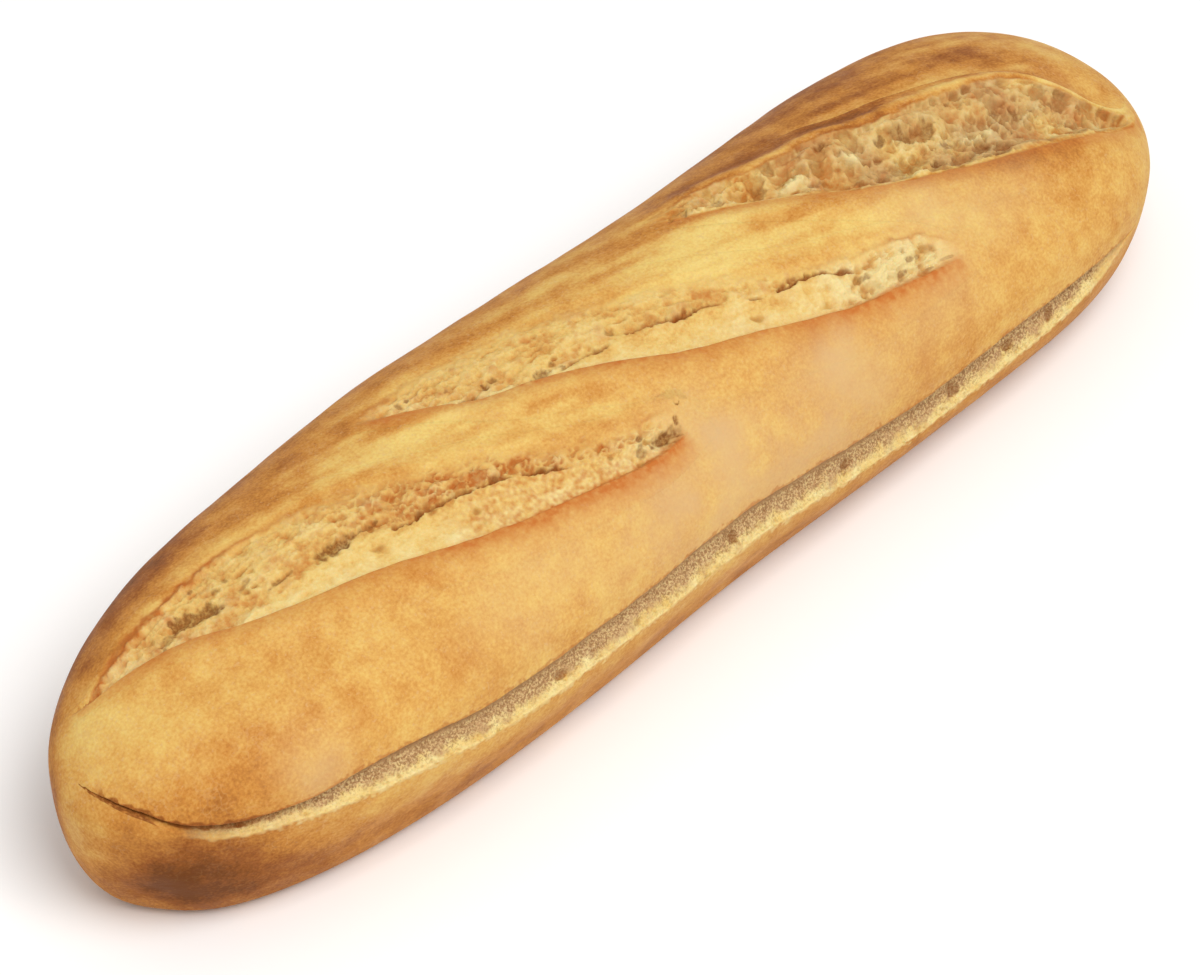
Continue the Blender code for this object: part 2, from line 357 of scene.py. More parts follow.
@dataclass(frozen=True)
class Dent:
    """A soft push of the surface, inwards or outwards, round one place."""

    at: tuple[float, float, float]
    push: tuple[float, float, float]
    reach: float
    stretch: float = 1.0

    def moved(self, points: np.ndarray) -> np.ndarray:
        """How far each place is pushed, three numbers to a row.

        Args:
            points: places on the loaf.

        Returns:
            The push at each place.
        """
        far = (points - np.array(self.at)) / np.array([self.stretch, 1, 1])
        share = np.exp(-(far**2).sum(axis=1) / self.reach**2)
        return share[:, None] * np.array(self.push)


@dataclass(frozen=True)
class Body:
    """The plain loaf that everything else is set into."""

    half: float = 140.0
    dome: float = 51.5
    near_side: tuple[float, ...] = (33.0, 34.0, 34.5, 34.5, 34.0, 35.0, 36.0, 37.5, 37.0)
    far_side: tuple[float, ...] = (36.0, 37.0, 37.0, 37.0, 36.0, 34.2, 35.0, 36.5, 38.5)
    waist_heights: tuple[float, ...] = (28.0, 31.0, 30.5, 29.5, 28.0, 26.0, 25.0, 24.0, 22.0)
    end_power_plan: tuple[float, float] = (4.0, 6.6)
    end_power_top: tuple[float, float] = (4.0, 2.8)
    dome_power: float = 2.1
    under_rounding: float = 13.0
    lump: float = 0.6
    shoulders: tuple[Shoulder, ...] = ()
    dents: tuple[Dent, ...] = ()
    split_edge: Line = Line(((-139, 34.5), (118, 19)))
    ledge: float = 1.6
    arc_steps: int = 361

    def stationed(self, values: tuple[float, ...], x: np.ndarray) -> np.ndarray:
        """A smooth line through values at evenly spaced stations along the loaf."""
        stations = np.linspace(-self.half, self.half, len(values))
        return Line(tuple(zip(stations, values))).at(x)

    def closing(self, x: np.ndarray, powers: tuple[float, float]) -> np.ndarray:
        """How far the loaf is open at x: 1 along its middle and 0 at the tip of either end."""
        power = np.where(x < 0, powers[0], powers[1])
        return np.sqrt(np.maximum(1 - np.abs(x / self.half) ** power, 0))

    def waist(self, x: np.ndarray) -> np.ndarray:
        """The height of the widest line."""
        return self.stationed(self.waist_heights, x)

    def plan(self, x: np.ndarray) -> tuple[np.ndarray, np.ndarray]:
        """The middle and the half width of the loaf in plan."""
        near, far = self.stationed(self.near_side, x), self.stationed(self.far_side, x)
        return (far - near) / 2, (far + near) / 2 * self.closing(x, self.end_power_plan)

    def top_height(self, x: np.ndarray, y: np.ndarray) -> np.ndarray:
        """The height of the dome at each place of the plan.

        Args:
            x: places along the loaf.
            y: places across it.

        Returns:
            The height at each place.
        """
        middle, half_width = self.plan(x)
        waist = self.waist(x)
        across = np.clip(np.abs(y - middle) / np.maximum(half_width, TINY), 0, 1)
        arch = (1 - across**self.dome_power) ** (1 / self.dome_power)
        return waist + (self.dome - waist) * self.closing(x, self.end_power_top) * arch

    def under_height(self, x: np.ndarray, y: np.ndarray) -> np.ndarray:
        """The height of the underside: flat on the floor, with a quarter round up to the widest line.

        Args:
            x: places along the loaf.
            y: places across it.

        Returns:
            The height at each place.
        """
        middle, half_width = self.plan(x)
        opening = np.maximum(self.closing(x, self.end_power_plan), 1e-3)
        full_width = np.maximum(half_width / opening, 1.0)
        power = np.where(x < 0, self.end_power_plan[0], self.end_power_plan[1])
        along, across = np.abs(x / self.half), (y - middle) / full_width
        inside = 1 - along**power - across**2
        steepness = np.hypot(power * along ** (power - 1) / self.half, 2 * across / full_width)
        run_in = np.clip(inside / np.maximum(steepness, TINY), 0, self.under_rounding) / self.under_rounding
        return self.waist(x) * (1 - np.sqrt(np.maximum(1 - (1 - run_in) ** 2, 0)))

    def turn_at(self, x: np.ndarray, y: np.ndarray) -> np.ndarray:
        """How many degrees round the section each place of the plan is, from 0 at the near side to 180.

        Args:
            x: places along the loaf.
            y: places across it.

        Returns:
            The degrees at each place.
        """
        middle, half_width = self.plan(x)
        share = np.clip((y - middle) / np.maximum(half_width, TINY), -1, 1)
        return 180 - np.degrees(np.arccos(np.sign(share) * np.abs(share) ** (self.dome_power / 2)))

    def over(self, x: np.ndarray, turn: np.ndarray) -> tuple[np.ndarray, np.ndarray]:
        """The plain surface over the widest line.

        Args:
            x: places along the loaf.
            turn: degrees round the section, from 0 at the near side to 180 at the far one.

        Returns:
            Y and Z of each place.
        """
        middle, half_width = self.plan(x)
        cosine, sine = -np.cos(np.radians(turn)), np.abs(np.sin(np.radians(turn)))
        y = middle + half_width * np.sign(cosine) * np.abs(cosine) ** (2 / self.dome_power)
        rise = (self.dome - self.waist(x)) * self.closing(x, self.end_power_top)
        return y, self.waist(x) + rise * sine ** (2 / self.dome_power)

    def arcs(self, x: np.ndarray) -> np.ndarray:
        """The run over the section at each x, from the near side to each of evenly spaced turns.

        Args:
            x: places along the loaf.

        Returns:
            One row of runs for each place.
        """
        turns = np.linspace(0, 180, self.arc_steps)
        y, z = self.over(x[:, None], turns[None, :])
        steps = np.hypot(np.diff(y, axis=1), np.diff(z, axis=1))
        return np.concatenate([np.zeros((len(x), 1)), np.cumsum(steps, axis=1)], axis=1)

    @cached_property
    def arc_chart(self) -> tuple[np.ndarray, np.ndarray]:
        """Evenly spaced places along the loaf, with the runs over the section at each."""
        x = np.linspace(-self.half + 0.5, self.half - 0.5, 559)
        return x, self.arcs(x)

    def arc_at(self, x: np.ndarray, turn: np.ndarray) -> np.ndarray:
        """The run over the section from the near side to each place, read from the chart.

        Args:
            x: places along the loaf.
            turn: degrees round the section.

        Returns:
            The run at each place.
        """
        places, runs = self.arc_chart
        along = np.clip((x - places[0]) / (places[1] - places[0]), 0, len(places) - 1.001)
        around = np.clip(turn / 180 * (self.arc_steps - 1), 0, self.arc_steps - 1.001)
        i, j = along.astype(int), around.astype(int)
        p, q = along - i, around - j
        low = runs[i, j] * (1 - q) + runs[i, j + 1] * q
        high = runs[i + 1, j] * (1 - q) + runs[i + 1, j + 1] * q
        return low * (1 - p) + high * p

    def dressed(self, points: np.ndarray) -> np.ndarray:
        """The plain surface with its swellings, its soft lumps and the ledge below the split.

        Args:
            points: places on the plain surface, three numbers to a row.

        Returns:
            The same places on the real surface.
        """
        x, y, z = points.T
        middle, half_width = self.plan(x)
        waist = self.waist(x)
        rise = np.maximum((self.dome - waist) * self.closing(x, self.end_power_top), 2.0)
        upper = smooth_step(0.1, 0.55, (z - waist) / rise)
        out = unit(np.stack([np.zeros_like(x), y - middle, z - waist], axis=1))
        uneven = cloud(points, 34.0, 3) * 0.6 + cloud(points, 15.0, 8) * 0.4 + cloud(points, 6.5, 21) * 0.16
        sunk = self.lump * np.clip(0.5 + 0.7 * uneven, 0, 1.4) * smooth_step(0.5, 9.0, z)
        lifted = upper * sum(s.at(x, y) for s in self.shoulders)
        below = self.split_edge.at(x) - z
        proud = smooth_step(0.8, 3.4, below) * (1 - smooth_step(9.0, 21.0, below))
        near = smooth_step(0.2, 0.9, -(y - middle) / np.maximum(half_width, TINY))
        along = smooth_step(-128, -90, x) * (1 - smooth_step(70, 118, x))
        made = points - out * sunk[:, None]
        made[:, 1] -= self.ledge * proud * near * along
        made[:, 2] += lifted
        made += sum(dent.moved(points) for dent in self.dents)
        return made

    def shares(self, points: np.ndarray) -> dict[str, np.ndarray]:
        """What the oven did to the crust at each place.

        Args:
            points: places on the loaf, three numbers to a row.

        Returns:
            tone: how far it is baked, from 0 for pale to 1 for burnt; towards the far side it also carries
                painted shade.
            bloom: how pale and floury it is.
            drawn: how far it was drawn out into streaks as the slashes opened.
        """
        x, y, z = points.T
        middle, half_width = self.plan(x)
        side = (y - middle) / np.maximum(half_width, 8.0)
        # darker towards the far side: partly baking, partly painted shade on the side that turns from the
        # light
        tone = 0.44 + 0.15 * smooth_step(0.45, 0.85, side) + 0.14 * smooth_step(0.75, 1.0, side)
        tone += 0.22 * (1 - smooth_step(8.0, 24.0, z))
        tone += sum(patch.at(points) for patch in BLUSHES)
        bloom = sum(patch.at(points) for patch in BLOOMS)
        drawn = np.zeros_like(x)
        for shoulder in self.shoulders:
            first, last = shoulder.lip.points[0][0], shoulder.lip.points[-1][0]
            along = smooth_step(first - 12, first + 4, x) * (1 - smooth_step(last - 14, last, x))
            drawn = np.maximum(drawn, along * smooth_step(2.0, 8.0, y - shoulder.lip.at(x)))
        shares = {"tone": tone, "bloom": bloom, "drawn": drawn * (1 - smooth_step(0.5, 0.8, side))}
        return {key: np.clip(value, 0, 1) for key, value in shares.items()}


@dataclass(frozen=True)
class Blush:
    """A soft patch of crust that the oven baked more, or less."""

    x: float
    y: float
    z: float
    reach: float
    amount: float
    stretch: float = 1.0

    def at(self, points: np.ndarray) -> np.ndarray:
        """The patch's share of baking at each place."""
        far = (points - np.array([self.x, self.y, self.z])) / np.array([self.stretch, 1, 1])
        return self.amount * np.exp(-(far**2).sum(axis=1) / self.reach**2)


BLUSHES = (
    Blush(-131, -15, 18, 13, 0.50, 1.2),
    Blush(-116, -22, 12, 14, 0.10),
    Blush(-130, 9, 39, 9, -0.16),
    Blush(-118, -19, 38, 8, 0.16, 1.6),
    Blush(-126, -10, 26, 8, 0.06, 1.6),
    Blush(-92, -22, 44, 9, 0.03, 1.6),
    Blush(-100, 25, 42, 14, 0.20, 2.2),
    Blush(84, 17, 46, 13, 0.24, 2.0),
    Blush(74, 25, 40, 12, 0.10, 1.8),
    Blush(46, 18, 50, 9, 0.22, 2.8),
    Blush(114, 8, 41, 12, 0.20),
    Blush(-53, 1, 52, 9, -0.20, 2.2),
    Blush(22, 1, 52, 9, -0.14, 2.2),
    Blush(60, -16, 48, 9, -0.12, 1.4),
    Blush(25, -24, 45, 5, 0.10),
    Blush(97, -24, 41, 9, 0.10, 1.5),
    Blush(50, -36, 28, 10, 0.08, 2.0),
)
BLOOMS = (
    Blush(-16, -31, 38, 13, 0.50, 1.6),
    Blush(20, -34, 33, 12, 0.50, 1.8),
    Blush(28, -27, 43, 6, 0.40, 1.2),
    Blush(-4, -24, 45, 7, 0.35),
    Blush(-108, -26, 36, 7, 0.40),
    Blush(-55, -29, 42, 10, 0.25, 1.6),
    Blush(56, -29, 41, 10, 0.25, 1.3),
    Blush(64, -14, 48, 7, 0.40),
    Blush(78, -22, 45, 9, 0.25, 1.6),
)


# ---------------- the slashes
@dataclass(frozen=True)
class Pit:
    """A hole, a crease or a bubble in the crumb, as an oval in plan; a bubble has a depth below 0."""

    x: float
    y: float
    length: float
    width: float
    angle: float
    depth: float
    # how dark the painted shade in a hole is; for a bubble, how toasted it is
    shade: float = 1.0

    def share(self, x: np.ndarray, y: np.ndarray, warp: np.ndarray) -> np.ndarray:
        """How far each place is into the pit, from 0 outside to 1 on its floor.

        Args:
            x: places in plan.
            y: places in plan.
            warp: what makes its edge uneven.

        Returns:
            The share at each place.
        """
        turn = math.radians(self.angle)
        along = (x - self.x) * math.cos(turn) + (y - self.y) * math.sin(turn)
        across = (y - self.y) * math.cos(turn) - (x - self.x) * math.sin(turn)
        return 1 - smooth_step(0.15, 1.25, np.hypot(along / self.length, across / self.width) + warp)


def pits(*rows: tuple[float, ...]) -> tuple[Pit, ...]:
    """Makes a pit of each row of its sizes."""
    return tuple(Pit(*row) for row in rows)


class Bed(Enum):
    """How a slash has opened."""

    TORN = "a bright bed of crumb with a torn crack along it"
    OPEN = "an open hollow with webs of crumb"


@dataclass(frozen=True)
class Chart:
    """A slash's visible points on the dressed surface, by ring and column.

    Attributes:
        points: the places, three numbers to each.
        run: how far each is over the crust from the lip.
        top: the run at the upper edge there.
        crack: the run at the crack there.
        inside: how far each is inside the piece's border.
    """

    points: np.ndarray
    run: np.ndarray
    top: np.ndarray
    crack: np.ndarray
    inside: np.ndarray

    @property
    def flat(self) -> np.ndarray:
        """The points in one list, three numbers to a row."""
        return self.points.reshape(-1, 3)


@dataclass(frozen=True)
class Relief:
    """What a slash does to the plain surface: its height and its share of each finish, painted light and
    painted shade among them, for each place.
    """

    height: np.ndarray
    shares: dict[str, np.ndarray]


@dataclass(frozen=True)
class Tear:
    """The crack along a torn bed, one value for each place.

    Attributes:
        height: the height that it adds.
        above: whether the place lies above the crack.
        groove: how far it is into the crack itself.
        slope: how far it is on the slope over the crack.
        shadow: how dark the painted shadow on that slope is.
        torn_up: how far its crumb was pulled up.
        gaps: how far it is into a gap between the strands there.
    """

    height: np.ndarray
    above: np.ndarray
    groove: np.ndarray
    slope: np.ndarray
    shadow: np.ndarray
    torn_up: np.ndarray
    gaps: np.ndarray


@dataclass(frozen=True)
class Slash:
    """One slash: its lines in plan, its crumb and its holes."""

    name: str
    bed: Bed
    start: float
    end: float
    lip: Line
    width: Line
    near_margin: Line
    far_margin: Line
    lip_drop: Line
    lip_toast: Line
    edge_crisp: Line
    bed_toast: Line
    # where the crumb is greyed: a greyer crumb tone, and in the open slash partly painted shade
    greyed_and_shaded: Line
    holes: tuple[Pit, ...]
    lumps: Line = NOWHERE
    crack: Line = NOWHERE
    crack_open: Line = NOWHERE
    grain_turn: float = -17.0
    fade_in: float = 12.0
    fade_out: float = 8.0
    rim_step: float = 0.9
    curl_height: float = 0.30
    groove_depth: float = 1.2
    slope_depth: float = 0.5
    gap_depth: float = 0.5
    mound_height: float = 1.3
    pore_depth: float = 0.55
    bubbles: Pairs = ((4.2, 1.0), (2.2, 0.75), (1.2, 0.30))
    bubble_depth: float = 1.15
    roll_height: float = 1.6
    ridge_height: float = 0.25
    pit_depth_share: float = 0.7
    deepest: float = 5.0
    rings: int = 470
    columns: int = 116
    hidden: int = 3
    seed: int = 100

    def noise(self, points: np.ndarray, size: float, number: int) -> np.ndarray:
        """This slash's own soft noise with lumps of this size; another number gives other lumps."""
        return cloud(points, size, self.seed + number)

    def run_out(self, x: np.ndarray) -> np.ndarray:
        """How far the slash is open: 1 along its middle and 0 at its tips."""
        first, last = self.lip.points[0][0], self.lip.points[-1][0]
        return smooth_step(first, first + self.fade_in, x) * (1 - smooth_step(last - self.fade_out, last, x))

    def inside(self, body: Body, x: np.ndarray, y: np.ndarray) -> np.ndarray:
        """How far each place of the plan is inside this piece's border, over the crust.

        Args:
            body: the loaf.
            x: places along the loaf.
            y: places across it.

        Returns:
            The distance at each place.
        """
        lip_run = body.arc_at(x, body.turn_at(x, self.lip.at(x)))
        top_run = body.arc_at(x, body.turn_at(x, self.lip.at(x) + self.width.at(x)))
        run = body.arc_at(x, body.turn_at(x, y))
        near = run - lip_run + self.near_margin.at(x)
        far = top_run + self.far_margin.at(x) - run
        return np.minimum.reduce([near, far, x - self.start, self.end - x])

    def charted(self, body: Body) -> Chart:
        """Where the piece's visible points lie on the dressed surface.

        Args:
            body: the loaf.

        Returns:
            The points, by ring and column.
        """
        x = np.linspace(self.start, self.end, self.rings)
        runs = body.arcs(x)
        turns = np.linspace(0, 180, body.arc_steps)
        lip, top, crack = (
            np.array([np.interp(t, turns, r) for t, r in zip(body.turn_at(x, y), runs)])
            for y in (self.lip.at(x), self.lip.at(x) + self.width.at(x), self.crack.at(x))
        )
        low, high = lip - self.near_margin.at(x), top + self.far_margin.at(x)
        run = low[:, None] + (high - low)[:, None] * np.linspace(0, 1, self.columns)
        turn = np.stack([np.interp(a, r, turns) for a, r in zip(run, runs)])
        wide_x = np.repeat(x[:, None], self.columns, axis=1)
        y, z = body.over(wide_x, turn)
        points = body.dressed(np.stack([wide_x, y, z], axis=-1).reshape(-1, 3))
        sides = [run - low[:, None], high[:, None] - run, wide_x - self.start, self.end - wide_x]
        return Chart(
            points.reshape(self.rings, self.columns, 3),
            run - lip[:, None],
            np.repeat((top - lip)[:, None], self.columns, axis=1),
            np.repeat((crack - lip)[:, None], self.columns, axis=1),
            np.minimum.reduce(sides),
        )

    def crumb(self, points: np.ndarray) -> tuple[np.ndarray, np.ndarray]:
        """The crumb's own bubbles and pores.

        Args:
            points: places on the dressed surface.

        Returns:
            The height of the crumb in millimetres, and how far each place is into a pore.
        """
        turn = math.radians(self.grain_turn)
        along = points[:, 0] * math.cos(turn) + points[:, 1] * math.sin(turn)
        across = points[:, 1] * math.cos(turn) - points[:, 0] * math.sin(turn)
        drawn = np.stack([along * 0.5, across, points[:, 2]], axis=1)
        warped = drawn + 0.7 * np.stack([self.noise(points, 2.4, k) for k in range(3)], axis=1)
        torn = 0.26 * (0.45 - 2 * np.abs(self.noise(warped, 1.9, 9)))
        torn += 0.17 * (0.45 - 2 * np.abs(self.noise(warped, 0.9, 10)))
        lumps = 0.34 * self.noise(points, 5.5, 41) + 0.26 * self.noise(warped, 2.6, 43)
        grain = 0.16 * self.noise(points, 0.6, 47)
        first, _, tag = cells(warped, 1.7, self.seed + 31)
        patches = smooth_step(-0.1, 0.5, self.noise(points, 6.0, 32))
        pore = (tag > 0.72) * (1 - smooth_step(0.10, 0.50, first)) * patches
        return lumps + torn + grain - self.pore_depth * pore, pore

    def tear(self, points: np.ndarray, off: np.ndarray, in_crumb: np.ndarray) -> Tear:
        """The crack along a torn bed, with the strands that were pulled up above it.

        Args:
            points: places on the dressed surface.
            off: how far each one lies above the crack's line.
            in_crumb: its share of crumb.

        Returns:
            What the crack does there.
        """
        x, line = points[:, 0], points * [1, 0, 0]
        open_share = self.crack_open.share(x)
        off = off - (0.6 * self.noise(line, 7.0, 3) + 0.4 * self.noise(line, 2.6, 4))
        above = smooth_step(-0.2, 1.2, off)
        teeth = 0.9 * self.noise(points, 1.7, 14) + 0.4 * self.noise(points, 0.75, 15)
        mouth = (0.9 + 2.1 * np.clip(teeth + 0.10, 0, 1.2)) * (0.4 + 0.6 * open_share)
        lens = smooth_step(0.35, 0.70, open_share + 0.8 * self.noise(line, 4.2, 18))
        off = off + 0.35 * self.noise(points, 0.9, 19) * open_share
        groove = lens * smooth_step(-0.25, 0.10, off) * (1 - smooth_step(0.45, 1.0, off / mouth))
        slope = open_share * smooth_step(-0.2, 0.3, off) * (1 - smooth_step(0.6, 4.2, off))
        shadow = slope * lens * smooth_step(-0.1, 0.3, self.noise(points, 1.0, 57))
        torn_up = self.bed_toast.share(x) * above * in_crumb * smooth_step(0.2, 2.0, off)
        loose = points * [0.7, 1, 1] + 0.6 * self.noise(points, 1.2, 20)[:, None]
        strands = 1 - smooth_step(0.03, 0.24, np.abs(self.noise(loose, 1.7, 21)))
        gaps = torn_up * (1 - strands) * smooth_step(-0.45, 0.0, self.noise(points, 2.0, 22))
        height = self.curl_height * open_share * gauss(off + 1.0, 1.1)
        height -= self.groove_depth * groove + self.slope_depth * slope + self.gap_depth * gaps
        return Tear(height, above, groove, slope, shadow, torn_up, gaps)

    def lip_baked(self, points: np.ndarray, run: np.ndarray, opened: np.ndarray) -> np.ndarray:
        """How browned the lip of a torn bed is, on the crust before it and on its own edge.

        Args:
            points: places on the dressed surface.
            run: each one's run from the lip.
            opened: how far the slash is open there.

        Returns:
            The share of toast at each place.
        """
        before = np.minimum(run + 0.4, 0)
        on_crust = 0.8 * gauss(before, 4.4) + 0.5 * gauss(before, 1.8)
        blotch = 0.95 + 0.3 * self.noise(points, 6.0, 53) + 0.3 * self.noise(points, 1.2, 58)
        baked = np.where(run < 0, on_crust * blotch, 0.9 * gauss(run, 1.0))
        return self.lip_toast.share(points[:, 0]) * smooth_step(0.0, 0.4, opened) * baked

    def torn(self, chart: Chart) -> Relief:
        """The relief of a slash whose bed of crumb tore along its middle.

        Args:
            chart: the slash's points.

        Returns:
            What the slash does there.
        """
        points, run = chart.flat, chart.run.ravel()
        x, line = points[:, 0], points * [1, 0, 0]
        opened, crisp, lumpy = self.run_out(x), self.edge_crisp.share(x), self.lumps.share(x)
        frays = 1.1 * self.noise(points, 4.0, 5) + 0.7 * self.noise(points, 1.7, 6)
        top = chart.top.ravel() + frays * opened
        past = run - top
        fallen = smooth_step(-0.5, 0.9, run - 0.3 * self.noise(line, 5.0, 7) * opened)
        healed = smooth_step(0.0, 1.0, (run - 1.5) / np.maximum(top - 2.5, 1.0))
        bed = -self.lip_drop.at(x) * opened * fallen * (1 - 0.75 * healed)
        before_rim = smooth_step(0.5, 2.5, run) * (1 - smooth_step(-1.3, 0.1, past))
        bed -= self.rim_step * crisp * opened * before_rim
        bed *= 1 - smooth_step(-0.5, 3.5, past)
        frayed = 1.3 * self.noise(points, 1.1, 17) * (1 - crisp)
        in_crumb = fallen * (1 - smooth_step(-3.4 + 3.2 * crisp, 1.8 - 1.4 * crisp, past + frayed)) * opened
        texture, pore = self.crumb(points)
        tear = self.tear(points, run - chart.crack.ravel(), in_crumb)
        mounds = lumpy * in_crumb * (self.noise(points, 3.0, 23) + 0.5 * self.noise(points, 1.4, 24))
        rough = (0.62 + 0.55 * tear.above + 0.9 * lumpy) * (1 - 0.6 * tear.groove)
        height = bed + in_crumb * (texture * rough + 0.1) + tear.height + self.mound_height * mounds

        speckle = np.clip(0.5 + 1.1 * self.noise(points, 0.9, 54), 0, 1)
        browned = (0.02 + self.noise(points, 3.6, 51) + 0.6 * self.noise(points, 1.2, 52)) * (1 - 0.7 * lumpy)
        browned += 1.3 * np.clip(-texture, 0, 0.6) + 0.5 * tear.slope * (0.5 + 0.5 * speckle)
        toast = self.lip_baked(points, run, opened)
        below = (1 - tear.above) * smooth_step(-64, -50, x)
        toast += 0.8 * self.bed_toast.share(x) * below * in_crumb * speckle
        toast += 0.58 * np.clip(browned, 0, 1) * (0.35 + 0.65 * tear.above) * in_crumb
        toast += 0.95 * tear.gaps + 0.25 * tear.torn_up + 0.9 * tear.groove
        toast += 1.1 * crisp * gauss(past - 0.4, 0.65) * opened * (0.9 + 0.4 * self.noise(points, 2.0, 56))
        toast += 0.30 * smooth_step(0.05, 0.40, -mounds)
        # painted shade: in the crack, the gaps between strands, the pores, the low ground between mounds, and
        # under a crisp upper edge
        shaded_hollow = np.maximum.reduce([
            0.85 * tear.groove,
            0.25 * tear.shadow,
            0.28 * tear.gaps,
            0.45 * in_crumb * pore,
            0.40 * smooth_step(0.20, 0.60, -mounds),
            0.35 * crisp * gauss(past - 0.3, 0.45) * opened,
        ])
        # mostly painted light: the crumb is lighter on its tops, near the lip and on the mounds
        lit = 0.52 + 0.55 * texture + 0.18 * gauss(run - 2.5, 3.0) + 0.32 * lumpy + 0.5 * mounds
        # a greyer crumb tone towards the slash's ends
        greyed_and_shaded = self.greyed_and_shaded.share(x) * in_crumb * (0.6 + 0.5 * self.noise(points, 4.0, 55))
        # no painted light or shade on the crust beside a torn bed
        painted_light_and_shade = np.zeros_like(x)
        return Relief(
            height,
            {"crumb": in_crumb, "toast": toast, "shaded_hollow": shaded_hollow, "lit": lit, "greyed_and_shaded": greyed_and_shaded, "painted_light_and_shade": painted_light_and_shade},
        )

    def bubbled(self, points: np.ndarray) -> np.ndarray:
        """How far each place is into the bubbles of an open slash, from 0 on the webs to 1.

        Args:
            points: places on the dressed surface.

        Returns:
            The share at each place.
        """
        warped = points + np.stack([
            0.9 * self.noise(points, 3.0, 60 + k) + 0.5 * self.noise(points, 1.1, 64 + k) for k in range(3)
        ], axis=1)
        into = np.zeros(len(points))
        for size, deep in self.bubbles:
            first, second, tag = cells(warped, size, self.seed + 71 + int(size))
            bubble = smooth_step(0.04, 0.34, second - first) * smooth_step(0.25, 0.75, tag)
            into = np.maximum(into, deep * bubble)
        return into

    def hollowed(self, chart: Chart) -> Relief:
        """The relief of a slash that stands open, with webs of crumb between its holes.

        Args:
            chart: the slash's points.

        Returns:
            What the slash does there.
        """
        points, run = chart.flat, chart.run.ravel()
        x = points[:, 0]
        opened = self.run_out(x)
        frays = 0.6 * self.noise(points, 4.0, 5) + 0.4 * self.noise(points, 1.5, 6)
        top = chart.top.ravel() + frays * opened
        past = run - top
        lip_wave = run - 0.7 * self.noise(points * [1, 0, 0], 4.0, 7) * opened
        climb = smooth_step(0.45, 0.95, run / np.maximum(top, 1.0))
        fallen = 0.25 * smooth_step(-0.3, 0.5, lip_wave) + 0.75 * smooth_step(1.2, 5.0, lip_wave)
        fallen = fallen * (1 - 0.82 * climb) + 0.10 * gauss(past + 0.3, 0.5)
        in_crumb = smooth_step(-0.3, 0.5, lip_wave) * (1 - smooth_step(0.2, 0.8, past)) * opened
        texture, pore = self.crumb(points)
        inner = smooth_step(0.6, 2.6, run)
        into = self.bubbled(points) * (1 - 0.3 * climb)
        web, sunk = (1 - into) * inner, into * inner
        lumps = 0.7 * self.noise(points, 4.0, 66) * inner
        rolling = self.roll_height * self.noise(points, 10.0, 8) * inner
        height = in_crumb * (0.3 * texture + lumps - self.bubble_depth * sunk + 0.5 + rolling)
        height = (height - self.lip_drop.at(x) * opened * fallen) * (1 - smooth_step(-0.5, 0.4, past))
        ridge = gauss(past - 2.2, 1.5) * smooth_step(36, 56, x) * opened
        height += self.ridge_height * ridge

        before = np.minimum(run + 0.3, 0)
        crease = gauss(past - 0.8, 0.4) * (0.8 + 0.8 * self.noise(points, 3.0, 56)) * opened
        crease = crease * (1 - 0.6 * smooth_step(78, 100, x))
        browned = 0.08 + self.bed_toast.at(x) + 0.5 * self.noise(points, 4.5, 51)
        browned += 0.6 * self.noise(points, 1.1, 52) + 0.6 * np.clip(-texture, 0, 0.5) + 0.10 * climb
        toast = self.lip_toast.share(x) * gauss(before, 2.2) * (1 - smooth_step(0.2, 0.9, run))
        toast = toast * smooth_step(0.0, 0.4, opened) + 0.5 * crease
        toast += 0.65 * np.clip(browned, 0, 1) * in_crumb
        # patches of painted shade, which darken the bubbles and grey the crumb further in
        shaded = np.clip(0.55 + 1.4 * self.noise(points, 8.0, 57), 0, 1)
        # painted shade in the bubbles and pores, and, with toast, along the crease by the upper edge
        shaded_hollow = in_crumb * np.clip(0.68 * sunk * (0.4 + 0.7 * shaded) + 0.5 * pore, 0, 1) + 0.4 * crease
        # mostly painted light: lighter on the tops and webs, with a painted highlight along the lip
        lit = 0.32 + 0.9 * texture + 0.40 * (web - 0.4) + 0.30 * lumps
        lit += 0.35 * gauss(run - 1.0, 0.9) * (1 - 0.8 * smooth_step(60, 95, x))
        # greyed crumb, deeper in the patches of painted shade
        greyed_and_shaded = self.greyed_and_shaded.share(x) * in_crumb * inner * (0.25 + 0.8 * shaded)
        # painted light and shade on the crust: a painted highlight along the ridge, painted shade on the
        # crust below the lip
        shade_below = smooth_step(58, 72, x) * (1 - smooth_step(100, 118, x)) * opened
        painted_light_and_shade = 0.26 * ridge - 0.22 * gauss(before, 4.0) * shade_below
        return Relief(
            height,
            {"crumb": in_crumb, "toast": toast, "shaded_hollow": shaded_hollow, "lit": lit, "greyed_and_shaded": greyed_and_shaded, "painted_light_and_shade": painted_light_and_shade},
        )

    def holed(self, points: np.ndarray, relief: Relief) -> Relief:
        """Adds the slash's holes, with painted shade in them, and its raised lumps, the bare ones with
        painted light, to its relief.

        Args:
            points: places on the dressed surface.
            relief: what the slash does there without them.

        Returns:
            What it does with them.
        """
        shaded_hollow, toast = relief.shares["shaded_hollow"], relief.shares["toast"]
        warp = 0.55 * self.noise(points, 2.2, 81) + 0.15 * self.noise(points, 0.9, 82)
